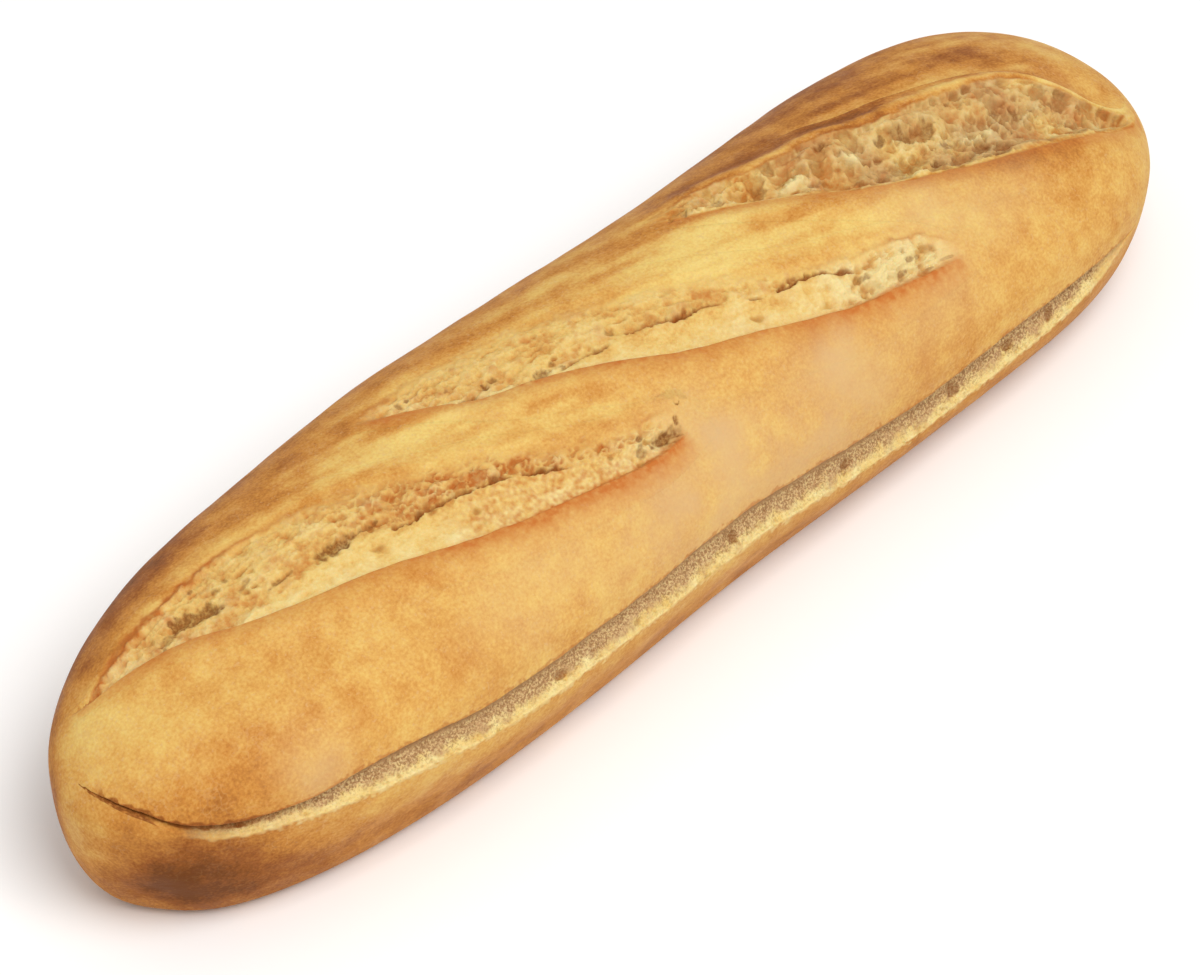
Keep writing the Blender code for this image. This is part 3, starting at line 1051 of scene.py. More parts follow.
        # a rougher edge for the painted shade in the holes
        shade_edge_warp = warp + 0.6 * self.noise(points, 0.9, 83)
        sunk, raised, pale, within = (np.zeros(len(points)) for _ in range(4))
        for hole in self.holes:
            share = hole.share(points[:, 0], points[:, 1], warp)
            if hole.depth > 0:
                sunk = np.maximum(sunk, self.pit_depth_share * hole.depth * share)
                within = np.maximum(within, share)
                in_painted_shade = hole.share(points[:, 0], points[:, 1], shade_edge_warp)
                shaded_hollow = np.maximum(shaded_hollow, hole.shade * smooth_step(0.1, 0.8, in_painted_shade))
            else:
                bare = share * (hole.shade == 0)
                raised = np.maximum(raised, -hole.depth * share)
                toast = np.maximum(toast * (1 - bare), hole.shade * share)
                pale = np.maximum(pale, bare)
        shares = dict(relief.shares, shaded_hollow=shaded_hollow, toast=toast)
        # painted light on the bare raised lumps
        shares["lit"] = shares["lit"] + 0.5 * pale
        shares["greyed_and_shaded"] = shares["greyed_and_shaded"] * (1 - 0.8 * pale)
        return Relief(relief.height * (1 - 0.4 * within) - sunk + raised, shares)

    def build(self, body: Body, material: bpy.types.Material) -> bpy.types.Object:
        """Builds the slash as one closed piece set into the crust.

        Args:
            body: the loaf that it is set into.
            material: its material.

        Returns:
            The piece.
        """
        chart = self.charted(body)
        grid, flat = chart.points, chart.flat
        up = unit(np.cross(np.gradient(grid, axis=0), unit(np.gradient(grid, axis=1))))
        relief = self.torn(chart) if self.bed is Bed.TORN else self.hollowed(chart)
        relief = self.holed(flat, relief)
        within = chart.inside.ravel()
        lap = LAP * (smooth_step(0.1, 1.0, within) - smooth_step(3.4, 5.6, within))
        height = relief.height * smooth_step(0.8, 2.6, within) + lap
        height -= BORDER_DIP * (1 - smooth_step(0.0, 1.0, within))
        points = (flat + up.reshape(-1, 3) * height[:, None]).reshape(grid.shape)

        depth = (4.0 + self.deepest * self.run_out(grid[:, 0, 0]))[:, None]
        far, mid, near = (grid[:, k] - up[:, k] * depth for k in (-1, self.columns // 2, 0))
        far, near = far * 0.8 + mid * 0.2, near * 0.8 + mid * 0.2
        buried = np.stack([far, mid - np.array([0, 0, 1.0]), near], axis=1)
        whole = np.concatenate([points, buried], axis=1)

        mesh, ring, side = tube(self.name, self.rings, self.columns + self.hidden)
        place(mesh, whole[ring, side])
        shares = relief.shares | {"speckled": np.zeros(len(flat))} | body.shares(flat)
        # painted light lightens the tone and painted shade darkens it
        shares["tone"] = shares["tone"] - shares.pop("painted_light_and_shade")
        paint(mesh, shares, ring * self.columns + np.minimum(side, self.columns - 1))
        return add_piece(mesh, material)


# ---------------- the split in the side
class Zone(IntEnum):
    """The zones of the split's section, from the crust above it round to what is buried."""

    ABOVE = 0
    UPPER_LIP = 1
    ROOF = 2
    BACK = 3
    FLOOR = 4
    LOWER_LIP = 5
    BELOW = 6
    BURIED = 7


@dataclass(frozen=True)
class Course:
    """The split's course along the side, one row or value for each section.

    Attributes:
        spots: the section's place on the loaf's outline in plan.
        inward: the way in.
        run: how far it is along the outline.
        edge: the height of the upper lip.
        gap: how wide the mouth is.
        reach: how deep the split is.
        open_share: how far it is open.
        wide: whether it is a gaping mouth there, and no thin line.
    """

    spots: np.ndarray
    inward: np.ndarray
    run: np.ndarray
    edge: np.ndarray
    gap: np.ndarray
    reach: np.ndarray
    open_share: np.ndarray
    wide: np.ndarray


@dataclass(frozen=True)
class Layout:
    """Where the points of the split lie, one row or value for each.

    Attributes:
        rank: its place in its section.
        zone: its zone.
        forth: its place on the floor, from 0 at the back to 1 at the lip.
        x: its section's place along the loaf.
        inwards: the way in.
        open_share: how far the split is open there.
        gaping: the same, but 0 where it is a thin line.
        border: how far inside this piece's border it is.
    """

    rank: np.ndarray
    zone: np.ndarray
    forth: np.ndarray
    x: np.ndarray
    inwards: np.ndarray
    open_share: np.ndarray
    gaping: np.ndarray
    border: np.ndarray

    def among(self, *zones: Zone) -> np.ndarray:
        """1 for each point in one of these zones, and 0 for the others."""
        return np.isin(self.zone, zones) * 1.0


@dataclass(frozen=True)
class Split:
    """The long split in the near side, which runs round the left end as a thin line."""

    edge: Line
    mouth: Line
    far_start: float = 5.0
    end: float = 120.0
    look_ahead: float = 1.5
    depth: float = 2.3
    closed_depth: float = 1.8
    lip_turn: float = 0.55
    back_rise: float = 0.52
    roof_drop: float = 0.12
    floor_curve: float = 0.25
    buried_depth: float = 3.5
    waves: Pairs = ((0.45, 9.0), (0.22, 3.0), (0.10, 1.1))
    upper_rim: Line = Line(((-139, 2.8), (-125, 3.6), (-110, 5.0)))
    lower_rim: float = 5.0
    border_rise: float = 0.02
    rings: int = 920
    rows: tuple[int, ...] = (18, 5, 7, 3, 30, 5, 20, 3)
    pores: tuple[float, ...] = (-54.0, -6.6, 25.0, 56.0, 71.6, 83.8)
    seed: int = 900

    @cached_property
    def steps(self) -> int:
        """How many points each section has."""
        return sum(self.rows)

    @cached_property
    def first(self) -> np.ndarray:
        """The rank of each zone's first point."""
        return np.cumsum((0,) + self.rows)

    def noise(self, points: np.ndarray, size: float, number: int) -> np.ndarray:
        """The split's own soft noise with lumps of this size; another number gives other lumps."""
        return cloud(points, size, self.seed + number)

    def outline(self, body: Body) -> tuple[np.ndarray, np.ndarray, np.ndarray]:
        """The plan's outline from past the left tip along the near side.

        Args:
            body: the loaf.

        Returns:
            Evenly spaced places on it, the way in at each, and the run to each from the first.
        """
        x = np.concatenate([[-body.half], -body.half + 0.02 * 1.16 ** np.arange(60)])
        x = np.unique(np.concatenate([x[x < -60], np.linspace(-60, self.end, 200)]))
        middle, half_width = body.plan(x)
        near = np.stack([x, middle - half_width], axis=1)
        far = np.stack([x, middle + half_width], axis=1)[x < -body.half * 0.9][::-1]
        line = np.concatenate([far[far[:, 1] < self.far_start], near])
        steps = np.hypot(*np.diff(line, axis=0).T)
        line = line[np.concatenate([[True], steps > TINY])]
        run = np.concatenate([[0], np.cumsum(np.hypot(*np.diff(line, axis=0).T))])
        at = np.linspace(0, run[-1], self.rings)
        even, ahead, behind = (
            np.stack([np.interp(at + step, run, line[:, k]) for k in (0, 1)], axis=1)
            for step in (0, self.look_ahead, -self.look_ahead)
        )
        heading = unit(ahead - behind)
        return even, np.stack([-heading[:, 1], heading[:, 0]], axis=1), at

    def open_share(self, run: np.ndarray, length: float) -> np.ndarray:
        """How far the split is open at each run along it: 0 at both ends."""
        return smooth_step(2.0, 14.0, run) * (1 - smooth_step(length - 26.0, length - 4.0, run))

    def reach(self, x: np.ndarray) -> np.ndarray:
        """How deep the split is along the loaf."""
        return self.closed_depth + (self.depth - self.closed_depth) * smooth_step(-118, -96, x)

    def surface(self, body: Body, course: Course, z: np.ndarray) -> np.ndarray:
        """The dressed surface at a height.

        Args:
            body: the loaf.
            course: the split's course.
            z: the height wanted at each section.

        Returns:
            Places on the dressed surface.
        """
        waist = body.waist(course.spots[:, 0])
        low, high = np.zeros(len(z)), np.full(len(z), 30.0)
        for _ in range(26):
            mid = (low + high) / 2
            x, y = (course.spots + course.inward * mid[:, None]).T
            short = np.where(z > waist, body.top_height(x, y) < z, body.under_height(x, y) > z)
            low, high = np.where(short, mid, low), np.where(short, high, mid)
        x, y = (course.spots + course.inward * low[:, None]).T
        return body.dressed(np.stack([x, y, z], axis=1))

    def inside(self, body: Body, points: np.ndarray) -> tuple[np.ndarray, np.ndarray, np.ndarray]:
        """How far places on the side are inside this piece's border.

        Args:
            body: the loaf.
            points: places on the plain surface.

        Returns:
            The distance inside, the depth of the split there and the way in.
        """
        spots, inward, runs = self.outline(body)
        found = np.concatenate([
            ((part[:, None, :2] - spots[None]) ** 2).sum(axis=2).argmin(axis=1)
            for part in np.array_split(points, max(len(points) // 2000, 1))
        ])
        x = spots[found, 0]
        above = self.edge.at(x) + self.upper_rim.at(x) - points[:, 2]
        below = points[:, 2] - (self.edge.at(x) - self.mouth.at(x) - self.lower_rim)
        within = np.minimum.reduce([above, below, runs[found], runs[-1] - runs[found]])
        return within, self.reach(x) * self.open_share(runs[found], runs[-1]), inward[found]

    def course(self, body: Body) -> Course:
        """Runs the split along the loaf's side.

        Args:
            body: the loaf.

        Returns:
            Its course.
        """
        spots, inward, run = self.outline(body)
        x = spots[:, 0]
        line = np.stack([run, np.zeros_like(run), np.zeros_like(run)], axis=1)
        open_share = self.open_share(run, run[-1])
        wave = sum(high * self.noise(line, size, k) for k, (high, size) in enumerate(self.waves))
        wide = smooth_step(1.0, 3.4, self.mouth.at(x))
        edge = self.edge.at(x) + wave * (0.35 + 0.4 * wide)
        lower_wave = 0.4 * self.noise(line, 11.0, 5) + 0.25 * self.noise(line, 4.0, 6)
        gap = self.mouth.at(x) * open_share * (1 + 0.10 * lower_wave) + 0.1
        return Course(spots, inward, run, edge, gap, self.reach(x) * open_share + 0.3, open_share, wide)

    def sections(self, body: Body, course: Course) -> np.ndarray:
        """The plain sections of the split, before its crumb.

        Args:
            body: the loaf.
            course: the split's course.

        Returns:
            Their points, section after section.
        """
        x, edge, gap, reach = course.spots[:, 0], course.edge, course.gap, course.reach
        low_edge = edge - gap
        turned = np.minimum(self.lip_turn, gap * 0.4 + 0.1)
        rim_top = self.edge.at(x) + self.upper_rim.at(x)
        rim_low = self.edge.at(x) - self.mouth.at(x) - self.lower_rim
        upper = self.surface(body, course, edge + turned)
        lower = self.surface(body, course, low_edge - turned)

        def off(start: np.ndarray, inwards: np.ndarray, upwards: np.ndarray) -> np.ndarray:
            """Places this far inwards and upwards of the start."""
            return start + np.column_stack([course.inward * inwards[:, None], upwards])

        def shares(zone: Zone, closed: bool = False) -> np.ndarray:
            """Even shares from 0 to 1 for the points of a zone."""
            return np.linspace(0, 1, self.rows[zone], endpoint=closed)

        back_top = off(upper, reach, -(turned + self.roof_drop * gap))
        back_low = off(lower, reach, turned + self.back_rise * gap)
        floor_from = off(lower, turned, turned)
        columns = [self.surface(body, course, rim_top + (edge + turned - rim_top) * share)
                   for share in shares(Zone.ABOVE)]
        columns += [off(upper, turned * (1 - math.cos(turn)), -turned * math.sin(turn))
                    for turn in shares(Zone.UPPER_LIP) * math.pi / 2]
        columns += [off(upper, turned + (reach - turned) * share, -(turned + self.roof_drop * gap * share))
                    for share in shares(Zone.ROOF)]
        columns += [back_top * (1 - share) + back_low * share for share in shares(Zone.BACK)]
        for share in shares(Zone.FLOOR):
            curve = share + self.floor_curve * share * (1 - share)
            columns.append(back_low * (1 - curve) + floor_from * curve)
        columns += [off(lower, turned * (1 - math.sin(turn)), turned * math.cos(turn))
                    for turn in shares(Zone.LOWER_LIP) * math.pi / 2]
        columns += [self.surface(body, course, low_edge - turned + (rim_low - low_edge + turned) * share)
                    for share in shares(Zone.BELOW, closed=True)]
        first, last, level = columns[0], columns[-1], np.zeros_like(x)
        deep = reach + self.buried_depth
        columns += [off(last, deep * 0.9, level), off((first + last) / 2, deep + 1.5, level)]
        columns.append(off(first, deep * 0.9, level))
        return np.stack(columns, axis=1).reshape(-1, 3)

    def layout(self, course: Course) -> Layout:
        """Says where each point of the sections lies.

        Args:
            course: the split's course.

        Returns:
            The layout of its points, section after section.
        """
        rank = np.tile(np.arange(self.steps), len(course.run))
        zone = np.searchsorted(self.first, rank, side="right") - 1
        x, run, open_share, wide = (
            np.repeat(value, self.steps)
            for value in (course.spots[:, 0], course.run, course.open_share, course.wide)
        )
        inwards = np.column_stack([np.repeat(course.inward, self.steps, axis=0), np.zeros(len(rank))])
        up = np.where(zone == Zone.ABOVE, rank / self.rows[Zone.ABOVE], math.inf)
        down = np.where(
            zone == Zone.BELOW, (self.first[Zone.BURIED] - 1 - rank) / self.rows[Zone.BELOW], math.inf
        )
        border = np.minimum.reduce([up * self.lower_rim, down * self.lower_rim, run, course.run[-1] - run])
        forth = np.clip((rank - self.first[Zone.FLOOR]) / self.rows[Zone.FLOOR], 0, 1)
        return Layout(rank, zone, forth, x, inwards, open_share, open_share * wide, border)

    def pored(self, points: np.ndarray, forth: np.ndarray) -> np.ndarray:
        """How far each place is into one of the pores of the crumb.

        Args:
            points: places on the split.
            forth: each one's place on the floor.

        Returns:
            The share at each place.
        """
        loose = points + 0.4 * np.stack([self.noise(points, 1.2, 30 + k) for k in range(3)], axis=1)
        fine, _, fine_tag = cells(loose, 0.9, self.seed + 20)
        coarse, _, coarse_tag = cells(loose, 2.8, self.seed + 21)
        pore = (fine_tag > 0.55) * (1 - smooth_step(0.15, 0.55, fine)) * 0.5
        pore = np.maximum(pore, (coarse_tag > 0.96) * (1 - smooth_step(0.15, 0.42, coarse)))
        uneven = 0.8 * self.noise(points, 1.3, 24)
        for spot in self.pores:
            far = np.hypot((points[:, 0] - spot) / 1.5, (forth - 0.4) / 0.3)
            pore = np.maximum(pore, (1 - smooth_step(0.5, 1.2, far + uneven)) * 1.4)
        return pore

    def crumbed(self, points: np.ndarray, at: Layout, pore: np.ndarray) -> tuple[np.ndarray, np.ndarray]:
        """The split with the relief of its crumb, its border drawn in under the crust.

        Args:
            points: places on the plain sections.
            at: their layout.
            pore: how far each is into a pore.

        Returns:
            The places with that relief, and the height of the crumb at each.
        """
        texture = 0.35 * self.noise(points, 3.5, 22) + 0.16 * self.noise(points, 1.3, 23) - 0.45 * pore
        lift = texture * at.among(Zone.FLOOR, Zone.LOWER_LIP) * at.gaping * smooth_step(-0.05, 0.15, at.forth)
        dip = BORDER_DIP * (1 - smooth_step(0.0, 1.0, at.border))
        dip -= self.border_rise * (1 - smooth_step(0.8, 2.6, at.border))
        made = points + at.inwards * (dip - lift * 0.5)[:, None]
        made[:, 2] += lift * 0.8
        return made, texture

    def baked(
        self, points: np.ndarray, at: Layout, texture: np.ndarray, pore: np.ndarray
    ) -> dict[str, np.ndarray]:
        """Each place's share of each finish.

        Args:
            points: places on the split.
            at: their layout.
            texture: the height of the crumb at each.
            pore: how far each is into a pore.

        Returns:
            One share for each place, by the finish's name.
        """
        floor, roof = at.among(Zone.FLOOR, Zone.LOWER_LIP), at.among(Zone.ROOF, Zone.BACK)
        rough_line = 0.70 + 0.38 * self.noise(points, 3.0, 25) + 0.28 * self.noise(points, 0.9, 26)
        inner = 1 - smooth_step(-0.36, 0.30, at.forth - rough_line)
        tip = 1 - smooth_step(-122.0, -112.0, points[:, 0])
        closed = 1 - smooth_step(-134.5, -132.5, points[:, 0])
        shut = np.clip(0.7 + 0.6 * self.noise(points, 1.6, 27), 0, 1)
        torn_low = 0.42 + 0.6 * closed + 0.25 * self.noise(points, 1.0, 33)
        # painted shade, with toast, along the thin closed crack at the left tip
        seam = tip * (1 - smooth_step(torn_low, torn_low + 0.2, at.forth)) * floor * np.maximum(shut, closed)
        over = np.where(
            at.zone == Zone.ABOVE, (self.first[Zone.UPPER_LIP] - at.rank) / self.rows[Zone.ABOVE], 99.0
        )
        over = np.where(at.zone == Zone.UPPER_LIP, 0.0, over) * self.upper_rim.at(at.x)
        under = np.where(
            at.zone == Zone.BELOW, (at.rank - self.first[Zone.BELOW]) / self.rows[Zone.BELOW], 99.0
        )
        frayed = 1.1 * self.noise(points, 0.9, 28) + 0.7 * self.noise(points, 2.6, 29)
        frayed = frayed * (1 - tip) + tip * (0.05 + 0.9 * self.noise(points, 1.6, 34))
        spill = (1 - smooth_step(0.0, 0.9, under * self.lower_rim + 1.2 * frayed)) * at.gaping
        # toast and painted shade: a dark line along the upper lip where the crack's shade falls, darkest at
        # the tip
        scorch_and_shade = (1 - smooth_step(0.1, 0.6, over + frayed)) * smooth_step(0.0, 0.6, at.open_share)
        crumb = floor * at.gaping
        return {
            "crumb": np.maximum.reduce([crumb, roof * at.gaping, spill]),
            # painted shade: the inner floor and the roof under the upper lip are greyed
            "greyed_and_shaded": crumb * inner + roof,
            "speckled": crumb * (1.25 - at.forth) * (0.9 + 0.5 * self.noise(points, 4.0, 31)),
            # painted shade under the roof, in the pores, along the seam and along the upper lip
            "shaded_hollow": np.maximum.reduce([
                roof * (0.35 + 0.4 * tip), crumb * pore * 0.45, seam, scorch_and_shade * (0.2 + 0.7 * tip)
            ]),
            # painted light: lighter on raised crumb and on the outer, lit part of the floor
            "lit": 0.55 + 0.7 * (texture + 0.1) + 0.15 * (1 - inner),
            "toast": scorch_and_shade * (0.55 + 0.3 * tip) + seam * 0.7 + 0.25 * spill * at.among(Zone.BELOW),
        }

    def build(self, body: Body, material: bpy.types.Material) -> bpy.types.Object:
        """Builds the split as one closed piece set into the crust.

        Args:
            body: the loaf that it is set into.
            material: its material.

        Returns:
            The piece.
        """
        course = self.course(body)
        plain, at = self.sections(body, course), self.layout(course)
        pore = self.pored(plain, at.forth)
        points, texture = self.crumbed(plain, at, pore)
        shares = self.baked(points, at, texture, pore) | body.shares(points)
        mesh, ring, side = tube("side_split", self.rings, self.steps)
        order = ring * self.steps + side
        place(mesh, points[order])
        paint(mesh, shares, order)
        return add_piece(mesh, material)


# ---------------- the crust
@dataclass(frozen=True)
class Crust:
    """The closed crust, sunk out of sight under the slashes and the split."""

    cuts: tuple[int, int, int] = (240, 110, 40)
    end_opening: float = 0.55
    side_turns: tuple[float, float] = (-38.0, 20.0)
    flat_share: float = 0.5
    sink_from: float = 1.9
    sink_to: float = 3.9
    under_slash: float = 1.4
    under_crumb: float = 0.8
    under_split: float = 1.6
    split_reach: float = 16.0
    bare: tuple[str, ...] = ("crumb", "toast", "shaded_hollow", "greyed_and_shaded", "lit", "speckled")

    def plain(self, body: Body, mesh: bpy.types.Mesh) -> np.ndarray:
        """Where each vertex of the block lies on the plain loaf.

        Args:
            body: the loaf.
            mesh: the block.

        Returns:
            One row of three numbers for each vertex.
        """
        bx, by, bz = corners(mesh).T
        ring = np.maximum(np.abs(by), np.abs(bz))
        across, up = by / np.maximum(ring, TINY), bz / np.maximum(ring, TINY)
        power = np.where(bx < 0, body.end_power_plan[0], body.end_power_plan[1])
        on_cap = np.abs(bx) > 1 - 10 * TINY
        cap_x = body.half * (1 - (self.end_opening * ring) ** 2) ** (1 / power)
        side_x = np.abs(bx) * body.half * (1 - self.end_opening**2) ** (1 / power)
        x = np.sign(bx) * np.where(on_cap, cap_x, side_x)
        low, high = self.side_turns
        side_angle = low + (high - low) * (up + 1) / 2
        angle = np.where(
            np.abs(across) >= np.abs(up),
            np.where(across > 0, side_angle, 180 - side_angle),
            np.where(up > 0, 90 - across * (90 - high), -90 + across * (90 + low)),
        )
        cosine, sine = np.cos(np.radians(angle)), np.sin(np.radians(angle))
        middle, half_width = body.plan(x)
        rounding = np.minimum(body.under_rounding, half_width)
        turned = np.clip((1 - np.abs(cosine)) / (1 - self.flat_share), 0, 1) * math.pi / 2
        above = half_width * np.abs(cosine) ** (2 / body.dome_power)
        below = np.where(
            np.abs(cosine) > self.flat_share,
            half_width - rounding * (1 - np.cos(turned)),
            (half_width - rounding) * np.abs(cosine) / self.flat_share,
        )
        y = middle + np.sign(cosine) * np.where(sine >= 0, above, below)
        z = np.where(sine >= 0, body.top_height(x, y), body.under_height(x, y))
        z = np.where(ring < TINY, body.waist(x), z)
        return np.stack([x, y, z], axis=1)

    def sunk(self, body: Body, slashes: tuple[Slash, ...], split: Split, plain: np.ndarray) -> np.ndarray:
        """The dressed crust, sunk under the pieces that are set into it.

        Args:
            body: the loaf.
            slashes: the slashes that it is sunk under.
            split: the split that it is sunk under.
            plain: each vertex's place on the plain loaf.

        Returns:
            Each vertex's place on the crust.
        """
        x, y, z = plain.T
        made = body.dressed(plain)
        waist = body.waist(x)
        middle, _ = body.plan(x)
        inwards = unit(np.stack([np.zeros_like(x), middle - y, waist - 12 - z], axis=1))
        for slash in slashes:
            within = np.where(z >= waist - 0.01, slash.inside(body, x, y), -1)
            deep = self.under_slash + (slash.deepest + self.under_crumb) * slash.run_out(x)
            deep = deep * smooth_step(self.sink_from, self.sink_to, within)
            made = made + inwards * deep[:, None]
        beside = np.abs(z - split.edge.at(x)) < self.split_reach
        beside &= (y < split.far_start + 8) & (x < split.end + 4) & ((y < middle - 8) | (x < -110))
        within, reach, inward = split.inside(body, plain[beside])
        deep = (reach + self.under_split) * smooth_step(self.sink_from, self.sink_to, within)
        made[beside, :2] += inward * deep[:, None]
        return made

    def build(
        self, body: Body, slashes: tuple[Slash, ...], split: Split, material: bpy.types.Material
    ) -> bpy.types.Object:
        """Builds the crust.

        Args:
            body: the loaf.
            slashes: the slashes that it is sunk under.
            split: the split that it is sunk under.
            material: its material.

        Returns:
            The piece.
        """
        mesh = block("crust", self.cuts)
        made = self.sunk(body, slashes, split, self.plain(body, mesh))
        place(mesh, made)
        no_crumb = dict.fromkeys(self.bare, np.zeros(len(made)))
        paint(mesh, body.shares(made) | no_crumb, np.arange(len(made)))
        weld(mesh)
        piece = add_piece(mesh, material)
        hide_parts("loaf")
        return piece


# ---------------- finishes
def colour(shade: Shade) -> tuple[float, float, float, float]:
    """A colour given as the eye sees it, 0 to 255, in the linear form that shaders want."""
    parts = [(c / 255 / 12.92) if c <= 10 else ((c / 255 + 0.055) / 1.055) ** 2.4 for c in shade]
    return (*parts, 1.0)


@dataclass
class Graph:
    """A material's nodes, added one by one."""

    tree: bpy.types.NodeTree

    def feed(self, node: bpy.types.Node, inputs: Inputs) -> bpy.types.Node:
        """Sets a node's inputs.

        Args:
            node: the node.
            inputs: for each input, a value, or the output that feeds it.

        Returns:
            The same node.
        """
        for key, value in inputs.items():
            if isinstance(value, Socket):
                self.tree.links.new(value, node.inputs[key])
            else:
                node.inputs[key].default_value = value
        return node

    def add(self, kind: str, inputs: Inputs | None = None, **settings: object) -> bpy.types.Node:
        """Adds a node.

        Args:
            kind: the node's type.
            inputs: for each input, a value, or the output that feeds it.
            settings: its other settings.

        Returns:
            The node.
        """
        node = self.tree.nodes.new(kind)
        for key, value in settings.items():
            setattr(node, key, value)
        return self.feed(node, inputs or {})

    @cached_property
    def at(self) -> Socket:
        """The place on the loaf, in millimetres."""
        place = self.add("ShaderNodeTexCoord").outputs["Object"]
        return self.add("ShaderNodeMapping", {"Vector": place, "Scale": (1000, 1000, 1000)}).outputs[0]

    def share(self, name: str) -> Socket:
        """A finish's share as painted on the mesh."""
        return self.add("ShaderNodeAttribute", attribute_name=name).outputs["Fac"]

    def sum(self, kind: str, first: object, second: object, clamp: bool) -> Socket:
        """Works out first kind second, such as ADD or MULTIPLY."""
        return self.add("ShaderNodeMath", {0: first, 1: second}, operation=kind, use_clamp=clamp).outputs[0]

    def plus(self, first: object, second: object, clamp: bool = False) -> Socket:
        """The sum of two values, kept between 0 and 1 if wanted."""
        return self.sum("ADD", first, second, clamp)

    def times(self, first: object, second: object, clamp: bool = False) -> Socket:
        """The product of two values, kept between 0 and 1 if wanted."""
        return self.sum("MULTIPLY", first, second, clamp)

    def vector(self, kind: str, inputs: Inputs) -> Socket:
        """Works out a sum of vectors, such as ADD or SCALE."""
        return self.add("ShaderNodeVectorMath", inputs, operation=kind).outputs[0]

    def noise(self, size: float, detail: float = 2.0, rough: float = 0.55) -> Socket:
        """Soft noise, 0 to 1, with lumps of this size in millimetres."""
        inputs = {"Vector": self.at, "Scale": 1 / size, "Detail": detail, "Roughness": rough}
        return self.add("ShaderNodeTexNoise", inputs).outputs["Fac"]

    def mottle(self, size: float, amount: float, detail: float = 2.0) -> Socket:
        """Noise about 0 with this much swing."""
        return self.times(self.plus(self.noise(size, detail), -0.5), amount)

    def blend(self, share: object, first: object, second: object) -> Socket:
        """Mixes two colours by a share."""
        return self.add("ShaderNodeMix", {0: share, 6: first, 7: second}, data_type="RGBA").outputs[2]

    def span(
        self, value: object, low: float, high: float, to_low: float = 0.0, to_high: float = 1.0
    ) -> Socket:
        """Turns a value from low to high into one from to_low to to_high."""
        inputs = {"Value": value, "From Min": low, "From Max": high, "To Min": to_low, "To Max": to_high}
        return self.add("ShaderNodeMapRange", inputs, interpolation_type="SMOOTHSTEP").outputs[0]

    def ramp(self, value: object, stops: Ramp) -> Socket:
        """A colour for each value, from a few stops, of which the first two are the ends.

        Args:
            value: the value.
            stops: its stops.

        Returns:
            The colour.
        """
        node = self.add("ShaderNodeValToRGB", {0: value})
        marks = node.color_ramp.elements
        for index, (at, shade) in enumerate(stops):
            mark = marks[index] if index < 2 else marks.new(at)
            mark.position, mark.color = at, colour(shade)
        return node.outputs[0]


